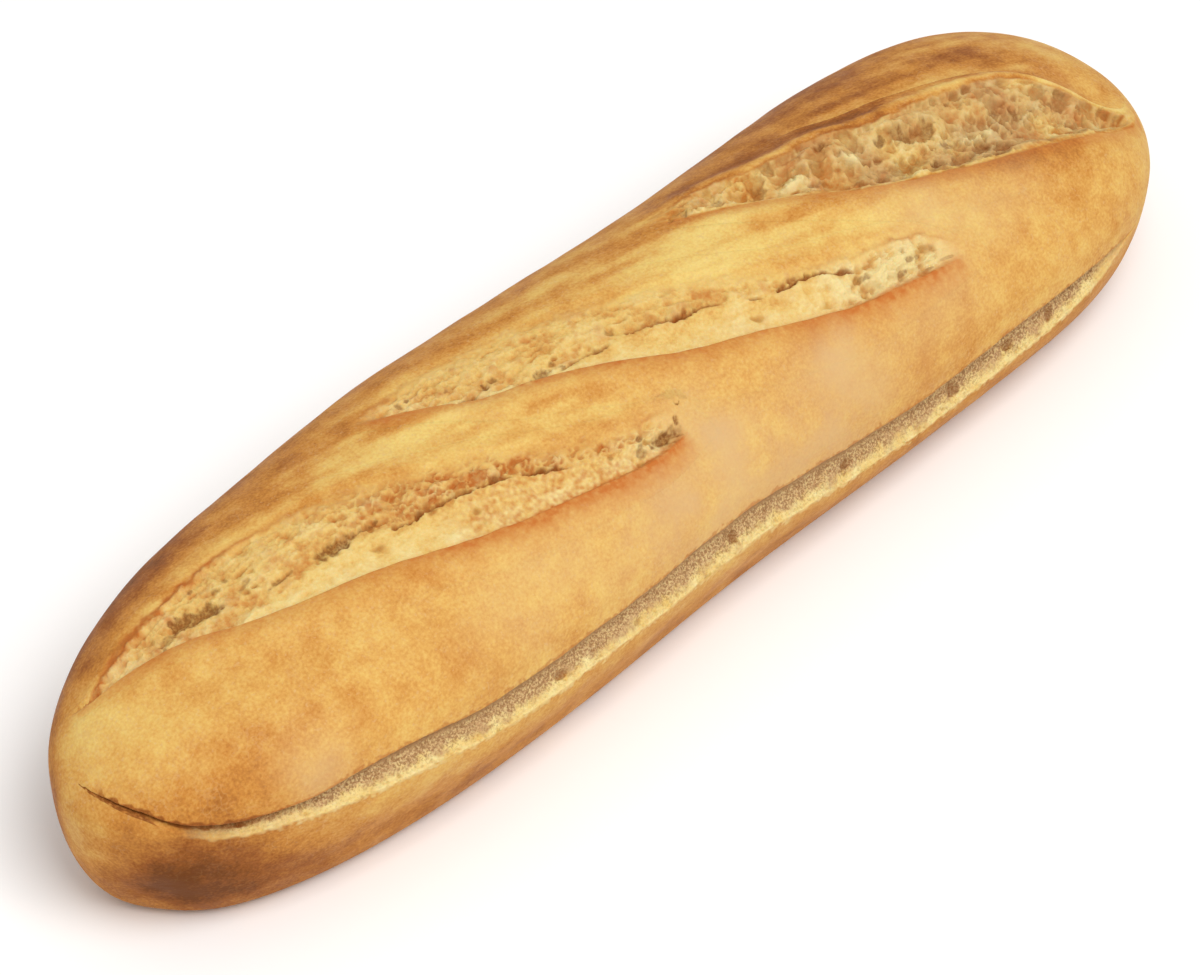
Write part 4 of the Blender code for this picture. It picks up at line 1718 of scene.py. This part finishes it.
@dataclass(frozen=True)
class Bread:
    """The finish of the whole loaf: golden crust, pale crumb, and what lies between."""

    crust: Ramp = (
        (0.0, (230, 208, 132)),
        (1.0, (108, 58, 12)),
        (0.24, (220, 188, 108)),
        (0.44, (207, 158, 82)),
        (0.60, (190, 128, 56)),
        (0.80, (148, 86, 32)),
    )
    crumb: Ramp = ((0.0, (196, 132, 56)), (1.0, (231, 213, 152)), (0.5, (222, 187, 110)))
    toast: Shade = (186, 104, 42)
    # the colour of the painted shade in holes, cracks, pores and recesses
    shaded_hollow: Shade = (124, 70, 24)
    # the grey of greyed crumb and of painted shade, such as inside the split under its upper lip
    greyed_and_shaded: Shade = (188, 150, 106)
    speck: Shade = (124, 84, 46)
    pale: Shade = (205, 168, 118)
    streak_turn: float = 17.0
    streak_size: tuple[float, float, float] = (44.0, 7.0, 7.0)
    craze_size: float = 2.2
    gloss: float = 0.12
    softness: float = 0.15
    soft_depth: float = 0.0012
    soft_radii: tuple[float, float, float] = (1.0, 0.45, 0.18)
    bump_strength: float = 0.7
    bump_depth: float = 0.00022

    def streaks(self, graph: Graph) -> Socket:
        """Long streaks along the slashes, lighter and darker by turns.

        Args:
            graph: the material's nodes.

        Returns:
            What they add to how far the crust is baked.
        """
        turn = (0, 0, math.radians(self.streak_turn))
        along = graph.add("ShaderNodeMapping", {"Vector": graph.at, "Rotation": turn}).outputs[0]
        scale = tuple(1 / size for size in self.streak_size)
        along = graph.add("ShaderNodeMapping", {"Vector": along, "Scale": scale}).outputs[0]
        streak = graph.add("ShaderNodeTexNoise", {"Vector": along, "Scale": 1.0, "Detail": 2.0})
        return graph.span(streak.outputs["Fac"], 0.34, 0.66, -0.15, 0.13)

    def crazed(self, graph: Graph) -> Socket:
        """How far each place is on a hairline of the crazed crust.

        Args:
            graph: the material's nodes.

        Returns:
            The share of the paler colour.
        """
        swirl = graph.add("ShaderNodeTexNoise", {"Vector": graph.at, "Scale": 1 / 2.5, "Detail": 2.0})
        swirl = graph.vector("SUBTRACT", {0: swirl.outputs["Color"], 1: (0.5, 0.5, 0.5)})
        swirled = graph.vector("ADD", {0: graph.at, 1: graph.vector("SCALE", {0: swirl, 3: 4.0})})
        inputs = {"Vector": swirled, "Scale": 1 / self.craze_size}
        cracks = graph.add("ShaderNodeTexVoronoi", inputs, feature="DISTANCE_TO_EDGE")
        hairline = graph.span(cracks.outputs["Distance"], 0.0, 0.09, 1.0, 0.0)
        where = graph.span(graph.noise(7.0), 0.45, 0.68, 0.0, 0.22)
        return graph.times(graph.times(hairline, where), graph.span(graph.share("tone"), 0.6, 0.8, 1.0, 0.3))

    def crusted(self, graph: Graph) -> Socket:
        """The crust's colour: how it is baked, with streaks, flour, hairlines and flecks.

        Args:
            graph: the material's nodes.

        Returns:
            The colour.
        """
        tone, pale = graph.share("tone"), colour(self.pale)
        baked = graph.plus(tone, graph.mottle(16.0, 0.30, 3.0))
        baked = graph.plus(baked, graph.mottle(4.5, 0.40, 4.0))
        baked = graph.plus(baked, graph.mottle(0.6, 0.36))
        baked = graph.plus(baked, graph.times(self.streaks(graph), graph.share("drawn")))
        flour = graph.span(graph.noise(9.0, 4.0), 0.25, 0.65, 0.5, 1.5)
        flour = graph.times(graph.share("bloom"), flour, True)
        made = graph.blend(flour, graph.ramp(baked, self.crust), pale)
        made = graph.blend(self.crazed(graph), made, pale)
        fleck = graph.span(graph.noise(0.7, 1.0), 0.62, 0.74, 0.0, 0.4)
        return graph.blend(graph.times(fleck, graph.span(tone, 0.45, 0.70, 1.0, 0.0)), made, pale)

    def crumbed(self, graph: Graph, crust: Socket) -> Socket:
        """The crust's colour with the crumb's over it, greyed where it is grey and where painted shade lies
        on it, and speckled where it is.

        Args:
            graph: the material's nodes.
            crust: the crust's colour.

        Returns:
            The colour.
        """
        # the crumb's colour runs lighter with the painted light in lit
        tone = graph.plus(graph.plus(graph.mottle(3.0, 0.4, 3.0), graph.mottle(0.6, 0.5)), graph.share("lit"))
        made = graph.blend(graph.share("crumb"), crust, graph.ramp(tone, self.crumb))
        made = graph.blend(graph.times(graph.share("greyed_and_shaded"), 0.95), made, colour(self.greyed_and_shaded))
        speckled, grains = graph.share("speckled"), graph.noise(0.45, 2.0, 0.7)
        amount = graph.times(speckled, 1.4, True)
        dark = graph.times(graph.span(graph.plus(grains, graph.times(speckled, 0.08)), 0.56, 0.64), amount)
        light = graph.times(graph.span(grains, 0.46, 0.38), amount)
        made = graph.blend(graph.times(dark, 0.58), made, colour(self.speck))
        return graph.blend(graph.times(light, 0.45), made, colour(self.crumb[1][1]))

    def browned(self, graph: Graph, bread: Socket) -> Socket:
        """The bread's colour with what was toasted, and with painted shade in its holes, cracks, pores and
        under the split's upper lip.

        Args:
            graph: the material's nodes.
            bread: the bread's colour.

        Returns:
            The colour.
        """
        toast = graph.times(graph.share("toast"), graph.span(graph.noise(1.4, 3.0), 0.25, 0.65, 0.55, 0.95))
        made = graph.blend(toast, bread, colour(self.toast))
        # painted shade: darkens holes, cracks and recesses towards the shade colour
        sunk = graph.times(graph.share("shaded_hollow"), graph.span(graph.noise(0.6), 0.30, 0.60, 0.55, 0.95))
        return graph.blend(sunk, made, colour(self.shaded_hollow))

    def bumped(self, graph: Graph) -> Socket:
        """The fine relief of skin and crumb.

        Args:
            graph: the material's nodes.

        Returns:
            The bent normal.
        """
        skin = graph.plus(graph.times(graph.noise(3.0, 3.0), 0.5), graph.noise(0.9, 3.0, 0.6))
        grain = graph.times(graph.noise(0.45, 3.0, 0.7), graph.times(graph.share("crumb"), 1.6))
        height = graph.plus(graph.times(skin, 0.5), grain)
        inputs = {"Strength": self.bump_strength, "Distance": self.bump_depth, "Height": height}
        return graph.add("ShaderNodeBump", inputs).outputs[0]

    def roughness(self, graph: Graph) -> Socket:
        """How dull it is: the crumb more than the crust."""
        crust = graph.span(graph.noise(6.0), 0.3, 0.7, 0.55, 0.7)
        return graph.plus(graph.times(graph.share("crumb"), 0.25), crust, True)

    def material(self) -> bpy.types.Material:
        """Makes the material.

        Returns:
            One material for every piece, led by the shares painted on their meshes.
        """
        made = bpy.data.materials.new("golden bread")
        made.use_nodes = True
        graph = Graph(made.node_tree)
        graph.feed(made.node_tree.nodes["Principled BSDF"], {
            "Base Color": self.browned(graph, self.crumbed(graph, self.crusted(graph))),
            "Normal": self.bumped(graph),
            "Roughness": self.roughness(graph),
            "Metallic": 0.0,
            "Specular IOR Level": self.gloss,
            "Subsurface Weight": self.softness,
            "Subsurface Radius": self.soft_radii,
            "Subsurface Scale": self.soft_depth,
        })
        return made


# ---------------- the studio
@dataclass(frozen=True)
class Studio:
    """The camera, the floor and the soft light, in metres."""

    azimuth: float = -48.0
    elevation: float = 44.0
    distance: float = 1.1
    lens: float = 176.3
    look_height: float = 0.020
    slide: tuple[float, float] = (-0.004222, -0.007276)
    floor_size: float = 8.0
    floor_colour: tuple[float, float, float, float] = (0.95, 0.945, 0.94, 1)
    floor_roughness: float = 0.9
    floor_gloss: float = 0.1
    key_way: tuple[float, float, float] = (0.30, 0.45, 1.0)
    key_distance: float = 1.6
    key_watts: float = 17.0
    key_size: float = 0.9
    sky: float = 0.68
    sky_colour: tuple[float, float, float, float] = (1.0, 0.985, 0.96, 1)

    def axes(self) -> tuple[Vector, Vector, Vector]:
        """The camera's right, its up and the way back to it.

        Returns:
            The three directions.
        """
        a, e = math.radians(self.azimuth), math.radians(self.elevation)
        back = Vector((math.sin(a) * math.cos(e), -math.cos(a) * math.cos(e), math.sin(e)))
        right = Vector((math.cos(a), math.sin(a), 0))
        return right, back.cross(right), back

    def camera(self) -> None:
        """Sets up the camera at the picture's viewing angle."""
        right, up, back = self.axes()
        target = Vector((0, 0, self.look_height)) + right * self.slide[0] + up * self.slide[1]
        lens = bpy.data.cameras.new("camera")
        lens.sensor_width, lens.lens = 36.0, self.lens
        made = bpy.data.objects.new("camera", lens)
        turn = Matrix((right, up, back)).transposed().to_4x4()
        made.matrix_world = Matrix.Translation(target + back * self.distance) @ turn
        bpy.context.scene.collection.objects.link(made)
        bpy.context.scene.camera = made

    def key_light(self) -> None:
        """Sets the soft square lamp, turned with the camera."""
        right, _, back = self.axes()
        level = Vector((back.x, back.y, 0)).normalized()
        way = right * self.key_way[0] + level * self.key_way[1] + Vector((0, 0, 1)) * self.key_way[2]
        light = bpy.data.lights.new("key", "AREA")
        light.energy, light.size = self.key_watts, self.key_size
        made = bpy.data.objects.new("key", light)
        made.location = way.normalized() * self.key_distance
        made.rotation_euler = way.to_track_quat("Z", "Y").to_euler()
        bpy.context.scene.collection.objects.link(made)

    def lay_floor(self) -> None:
        """Lays the pale floor, which belongs to the picture and not to the loaf."""
        made = bmesh.new()
        bmesh.ops.create_grid(made, x_segments=2, y_segments=2, size=self.floor_size / 2)
        mesh = as_mesh(made, "floor")
        material = bpy.data.materials.new("pale floor")
        material.use_nodes = True
        shader = material.node_tree.nodes["Principled BSDF"]
        shader.inputs["Base Color"].default_value = self.floor_colour
        shader.inputs["Roughness"].default_value = self.floor_roughness
        shader.inputs["Specular IOR Level"].default_value = self.floor_gloss
        mesh.materials.append(material)
        floor = bpy.data.objects.new("floor", mesh)
        bpy.context.scene.collection.objects.link(floor)

    def build(self) -> None:
        """Sets up the whole studio."""
        scene = bpy.context.scene
        scene.view_settings.view_transform = "Standard"
        world = bpy.data.worlds.new("pale sky")
        world.use_nodes = True
        world.node_tree.nodes["Background"].inputs["Color"].default_value = self.sky_colour
        world.node_tree.nodes["Background"].inputs["Strength"].default_value = self.sky
        scene.world = world
        self.key_light()
        self.lay_floor()
        self.camera()


# ---------------- this loaf
NEAR_SLASH = Slash(
    name="near_slash",
    bed=Bed.TORN,
    start=-133.0,
    end=-2.5,
    lip=Line(((-130, 14.0), (-126.5, 12.2), (-118.9, 9.7), (-108.3, 5.1), (-100.3, -0.1), (-93, -3.4),
              (-76, -9.1), (-54, -17.2), (-32, -22), (-18, -24.1), (-7, -23.6))),
    width=Line(((-130, 0.3), (-126.5, 0.8), (-118.9, 4.8), (-108.3, 11), (-100.3, 16.2), (-91, 20),
                (-76, 21.5), (-62, 21), (-42, 15), (-28, 9.0), (-12, 5.5), (-7, 4.5))),
    near_margin=Line(((-133, 2.2), (-120, 4.0), (-108, 6.0), (-14, 6.0), (-3, 4.5))),
    far_margin=Line(((-133, 2.0), (-120, 3.0), (-105, 5.0), (-14, 5.0), (-3, 4.0))),
    lip_drop=Line(((-126, 0.9), (-100, 1.5), (-60, 1.9), (-30, 1.9), (-8, 1.6))),
    lip_toast=Line(((-128, 0.3), (-104, 0.5), (-88, 0.4), (-72, 0.55), (-60, 0.8), (-44, 1.0), (-20, 1.0),
                    (-8, 0.6))),
    edge_crisp=Line(((-126, 1.0), (-94, 1.0), (-82, 0.5), (-70, 0.0), (-20, 0.0), (-10, 0.6))),
    bed_toast=Line(((-126, 0.3), (-100, 0.2), (-75, 0.25), (-62, 0.6), (-45, 0.8), (-20, 0.7), (-8, 0.4))),
    greyed_and_shaded=Line(((-126, 0.1), (-20, 0.0), (-7, 0.2))),
    lumps=Line(((-30, 0.0), (-7, 0.3))),
    crack=Line(((-75, 0.4), (-62.4, -5.2), (-57, -5.9), (-49.8, -8.1), (-42.4, -10.6), (-36.8, -13.7),
                (-31, -16.6), (-20, -21))),
    crack_open=Line(((-72, 0.0), (-66, 0.1), (-63, 0.8), (-50, 1.0), (-48.4, 0.35), (-47, 0.9),
                     (-42.5, 0.9), (-41, 0.3), (-39, 0.8), (-33, 0.7), (-28, 0.0))),
    holes=pits(
        (-104.9, 10.7, 3.0, 2.3, -10, 2.5, 0.9),
        (-100.2, 8.3, 2.8, 2.0, -28, 2.5, 0.9),
        (-102.6, 9.4, 2.6, 2.0, -26, 2.5, 0.85),
        (-109.1, 10.3, 1.7, 1.2, 34, 1.8, 0.6),
        (-111.1, 8.7, 0.8, 0.6, 51, 1.4, 0.7),
        (-99.0, 14.4, 0.7, 0.5, 46, 0.9, 0.7),
        (-95.9, 10.7, 1.2, 0.7, -27, 1.1, 0.7),
        (-93.3, 11.5, 1.3, 0.7, 64, 1.1, 0.6),
        (-92.6, 7.2, 2.3, 0.8, 10, 1.2, 0.5),
        (-87.1, 3.1, 3.0, 0.7, 2, 1.5, 0.75),
        (-75.2, 1.0, 4.6, 1.9, -11, 2.6, 0.9),
        (-78.8, 1.9, 1.8, 1.2, -30, 1.6, 0.6),
        (-68.6, 0.0, 3.4, 0.6, -10, 1.6, 0.8),
        (-63.1, 0.5, 1.3, 0.4, -49, 0.8, 0.3),
        (-12.6, -22.0, 3.6, 1.5, -4, 2.6, 0.9),
        (-17.9, -21.3, 1.7, 1.1, 2, 2.0, 0.6),
        (-16.9, -19.3, 1.1, 0.6, -8, 1.3, 0.7),
        (-24.3, -19.1, 0.8, 0.6, -15, 0.9, 0.5),
        (-26.0, -19.9, 1.1, 0.4, -36, 0.9, 0.5),
        (-8.7, -20.8, 1.1, 0.5, 60, 1.0, 0.9),
        (-5.9, -18.4, 0.8, 0.4, 60, 0.8, 0.8),
        (-45.2, -6.6, 1.6, 0.9, -20, -0.6, 0.7),
        (-49.4, -6.0, 1.4, 0.8, -21, -0.6, 0.7),
        (-41.3, -8.0, 1.1, 0.7, -60, -0.5, 0.6),
        (-37.8, -9.9, 1.3, 0.6, -33, -0.5, 0.6),
        (-53.3, -2.7, 1.2, 0.7, -13, -0.5, 0.6),
        (-80.3, 7.9, 1.5, 0.9, -8, -0.4, 0.7),
    ),
    fade_in=5.0,
    seed=100,
)

MIDDLE_SLASH = Slash(
    name="middle_slash",
    bed=Bed.TORN,
    start=-55.0,
    end=72.0,
    lip=Line(((-52, 21.2), (-42, 14.3), (-33, 6.8), (-23, 2.5), (-11, -3.7), (1, -11), (18, -17.7),
              (38, -24.2), (54, -26.6), (67, -28.0))),
    width=Line(((-52, 0.6), (-42, 6), (-34, 12.5), (-24, 16), (-12, 18), (7, 19), (21, 15), (38, 9.5),
                (52, 8), (62, 5.2), (67, 1.5))),
    near_margin=Line(((-55, 2.5), (-45, 6.0), (60, 6.0), (72, 3.5))),
    far_margin=Line(((-55, 2.5), (-45, 5.0), (60, 5.0), (72, 3.0))),
    lip_drop=Line(((-48, 0.8), (-30, 1.4), (0, 1.8), (40, 1.7), (64, 1.3))),
    lip_toast=Line(((-52, 0.9), (-40, 0.5), (-20, 0.6), (0, 0.7), (14, 0.55), (30, 0.7), (60, 0.7),
                    (67, 0.5))),
    edge_crisp=Line(((-50, 0.8), (-38, 0.35), (-20, 0.1), (30, 0.05), (46, 0.3), (66, 0.5))),
    bed_toast=Line(((-52, 0.5), (-38, 0.3), (-20, 0.1), (20, 0.15), (40, 0.15), (67, 0.0))),
    greyed_and_shaded=Line(((-52, 0.0), (36, 0.0), (46, 0.1), (67, 0.2))),
    lumps=Line(((32, 0.0), (42, 0.9), (67, 1.0))),
    crack=Line(((-30, 6), (-12.3, 0.9), (-7.9, -0.3), (-1.2, -0.8), (3.7, -3.0), (10, -6.0), (16.3, -7.4),
                (23.3, -12.0), (30, -14.1), (37.2, -15.6), (42, -18.6), (50, -22))),
    crack_open=Line(((-18, 0.0), (-14, 0.4), (-11, 0.7), (-6, 0.6), (-2, 0.3), (1, 0.9), (15, 1.0),
                     (17.5, 0.5), (19, 0.1), (23, 0.35), (26, 0.4), (30, 0.75), (40, 0.8), (43, 0.5),
                     (46, 0.0))),
    holes=pits(
        (-41.4, 18.0, 0.8, 0.5, -82, 0.9, 0.7),
        (-39.3, 17.7, 0.7, 0.5, 14, 0.9, 0.7),
        (-32.6, 9.0, 2.5, 1.1, -2, 2.4, 0.7),
        (-27.5, 9.3, 1.4, 0.9, 41, 1.9, 0.9),
        (-25.4, 9.5, 1.2, 0.8, -8, 1.4, 0.7),
        (-28.5, 6.0, 1.1, 0.4, -52, 0.9, 0.6),
        (-33.1, 13.8, 1.0, 0.5, 9, 0.9, 0.5),
        (-18.2, 3.5, 2.4, 1.1, -16, 2.5, 0.8),
        (-15.2, 4.1, 0.9, 0.7, -53, 1.3, 0.7),
        (-20.8, 3.2, 0.9, 0.5, 44, 1.2, 0.7),
        (-14.5, 1.7, 0.9, 0.7, 66, 1.3, 0.7),
        (-2.5, 1.2, 1.2, 0.9, 26, 1.5, 0.6),
        (44.9, -21.0, 1.6, 0.8, -13, 1.3, 0.65),
        (52.7, -24.1, 1.3, 0.6, -21, 1.2, 0.7),
        (55.6, -22.9, 1.2, 0.5, -14, 1.1, 0.65),
        (57.6, -23.3, 0.8, 0.5, 5, 0.9, 0.55),
        (58.4, -26.0, 1.6, 0.5, -3, 1.0, 0.55),
        (62.6, -26.3, 1.8, 0.3, -13, 0.8, 0.35),
        (59.8, -22.8, 0.8, 0.4, -58, 0.7, 0.35),
        (11.4, -4.1, 3.2, 1.5, -13, -0.6, 0.5),
        (5.9, -1.7, 1.1, 0.8, -40, -0.5, 0.6),
        (-23.1, 11.0, 1.6, 0.8, -49, -0.5, 0.7),
        (-9.6, 6.2, 1.2, 0.6, -14, -0.4, 0.6),
        (50.0, -23.0, 1.8, 1.0, -13, -0.7, 0.1),
        (61.0, -24.6, 1.6, 0.9, -13, -0.6, 0.1),
    ),
    seed=300,
)

FAR_SLASH = Slash(
    name="far_slash",
    bed=Bed.OPEN,
    start=22.0,
    end=134.5,
    lip=Line(((24, 17.9), (30.7, 12.9), (38.6, 7.2), (49.5, -0.3), (59.4, -7.2), (72.9, -12.8), (85, -16.7),
              (95, -19), (101.9, -20.4), (112.1, -22.0), (120, -22.4), (126, -21.4), (130, -19.4),
              (133.5, -15.5))),
    width=Line(((24, 0.8), (30.7, 4.3), (38.6, 9.1), (49.5, 12.6), (59.4, 17.0), (66, 19.4), (72.9, 18.6),
                (85, 19.7), (95, 19.8), (101.9, 19.7), (112.1, 16.6), (117, 12.0), (122.2, 8.0), (127, 2.6),
                (133.5, 0.8))),
    near_margin=Line(((22, 2.5), (32, 6.0), (112, 6.0), (126, 3.6), (134, 2.0))),
    far_margin=Line(((22, 2.5), (32, 5.0), (112, 5.0), (126, 3.5), (134, 2.0))),
    lip_drop=Line(((24, 1.2), (40, 2.2), (60, 3.4), (90, 3.8), (115, 3.0), (130, 1.2))),
    lip_toast=Line(((24, 0.4), (60, 0.5), (85, 0.45), (110, 0.5), (130, 0.5))),
    edge_crisp=Line(((24, 1.0), (134, 1.0))),
    bed_toast=Line(((24, 0.25), (45, 0.2), (54, 0.1), (58, 0.45), (63, 0.45), (68, 0.0), (100, 0.0),
                    (130, 0.15))),
    greyed_and_shaded=Line(((24, 0.1), (45, 0.2), (64, 0.55), (90, 0.65), (115, 0.5), (130, 0.3))),
    holes=pits(
        (29.2, 14.2, 0.9, 0.5, 40, 0.9, 0.6),
        (32.4, 13.5, 1.3, 0.7, 37, 1.2, 0.6),
        (39.7, 12.2, 2.6, 1.5, 29, 1.8, 0.6),
        (37.9, 10.3, 0.9, 0.7, -20, 1.2, 0.8),
        (43.6, 8.2, 1.5, 1.1, 34, 1.6, 0.7),
        (47.7, 8.3, 2.6, 1.8, 1, 2.2, 0.6),
        (47.6, 6.1, 1.1, 0.7, 42, 1.8, 0.8),
        (60.0, 4.6, 2.6, 1.5, 29, 1.8, 0.5),
        (56.9, 2.0, 1.9, 1.0, 6, 2.0, 0.6),
        (65.2, 7.6, 2.2, 1.0, -20, 2.4, 0.8),
        (74.6, 1.1, 1.7, 1.1, 37, 2.2, 0.8),
        (80.2, -0.6, 2.7, 1.7, -26, 3.0, 0.8),
        (85.2, -2.4, 2.6, 1.6, 29, 2.6, 0.7),
        (86.0, -6.6, 2.2, 1.3, -4, 2.4, 0.7),
        (71.5, -1.3, 1.3, 0.9, 36, 1.8, 0.7),
        (74.5, -6.2, 6.8, 2.6, -20, 2.6, 0.5),
        (79.9, -9.7, 1.5, 1.2, -32, 3.4, 0.9),
        (63.8, -3.2, 1.7, 0.7, -10, 1.8, 0.7),
        (68.6, -5.9, 1.5, 1.2, -20, 1.8, 0.4),
        (93.5, -0.2, 1.0, 0.6, -3, 1.4, 0.8),
        (100.6, -6.7, 2.3, 1.1, 4, 2.2, 0.7),
        (104.5, -9.3, 1.8, 1.4, -66, 2.2, 0.8),
        (108.4, -10.0, 1.7, 0.5, -17, 1.6, 0.7),
        (113.6, -10.8, 1.6, 0.8, -9, 1.4, 0.6),
        (115.2, -16.2, 2.0, 0.9, 23, 1.4, 0.5),
        (122.9, -15.1, 1.4, 0.5, 20, 0.8, 0.5),
        (124.5, -17.9, 1.0, 0.6, 24, 0.8, 0.4),
        (116.9, -19.6, 2.1, 0.6, 0, 1.1, 0.5),
        (67.0, 1.6, 3.4, 2.2, -20, -1.6, 0.0),
        (53.6, 5.4, 3.4, 2.2, -10, -1.2, 0.0),
        (72.0, -10.2, 3.0, 1.0, -14, -0.5, 0.0),
        (93.0, -9.0, 3.4, 1.6, -12, -0.7, 0.0),
        (79.7, -11.5, 1.6, 1.0, -10, -0.6, 0.6),
        (61.3, 2.6, 2.0, 1.5, 60, -0.2, 0.6),
    ),
    deepest=7.5,
    seed=500,
)

SIDE_SPLIT = Split(
    edge=Line(((-139, 34.8), (-135, 33.6), (-131.5, 32.1), (-127, 31.0), (-121, 30.4), (-112, 30.3),
               (-104, 31.2), (-96, 31.8), (-88, 31.5), (-78, 29.9), (-68, 28.9), (-55, 28.4), (-40, 28.2),
               (-10, 28.1), (2, 27.3), (14, 25.8), (28, 23.9), (42, 22.4), (54, 22.0), (66, 22.4),
               (80, 22.8), (92, 22.6), (104, 21.4), (118, 19))),
    mouth=Line(((-139, 0.3), (-136, 0.5), (-133, 0.8), (-130, 1.6), (-126, 2.3), (-120, 2.7), (-112, 2.8),
                (-104, 4.2), (-95, 5.2), (-80, 5.7), (-50, 6.3), (50, 6.3), (95, 5.0), (118, 1.6))),
)

BODY = Body(
    shoulders=(
        Shoulder(NEAR_SLASH.lip, NEAR_SLASH.width),
        Shoulder(MIDDLE_SLASH.lip, MIDDLE_SLASH.width),
        Shoulder(FAR_SLASH.lip, FAR_SLASH.width, 1.0, 0.8),
    ),
    dents=(
        Dent((-134, -8, 8), (0.8, 0.8, 2.0), 9.0),
        Dent((124, -14, 37), (-0.8, 0.0, -2.2), 8.0),
        Dent((-38, 28.5, 45), (0.0, 0.8, 0.5), 10.0, 1.7),
    ),
    split_edge=SIDE_SPLIT.edge,
)


def main() -> None:
    """Builds the loaf and its studio, and reports each piece."""
    logging.basicConfig(level=logging.INFO, format="%(name)s: %(message)s")
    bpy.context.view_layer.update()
    material = Bread().material()
    slashes = (NEAR_SLASH, MIDDLE_SLASH, FAR_SLASH)
    Crust().build(BODY, slashes, SIDE_SPLIT, material)
    for slash in slashes:
        slash.build(BODY, material)
    SIDE_SPLIT.build(BODY, material)
    Studio().build()


if __name__ == "__main__":
    main()
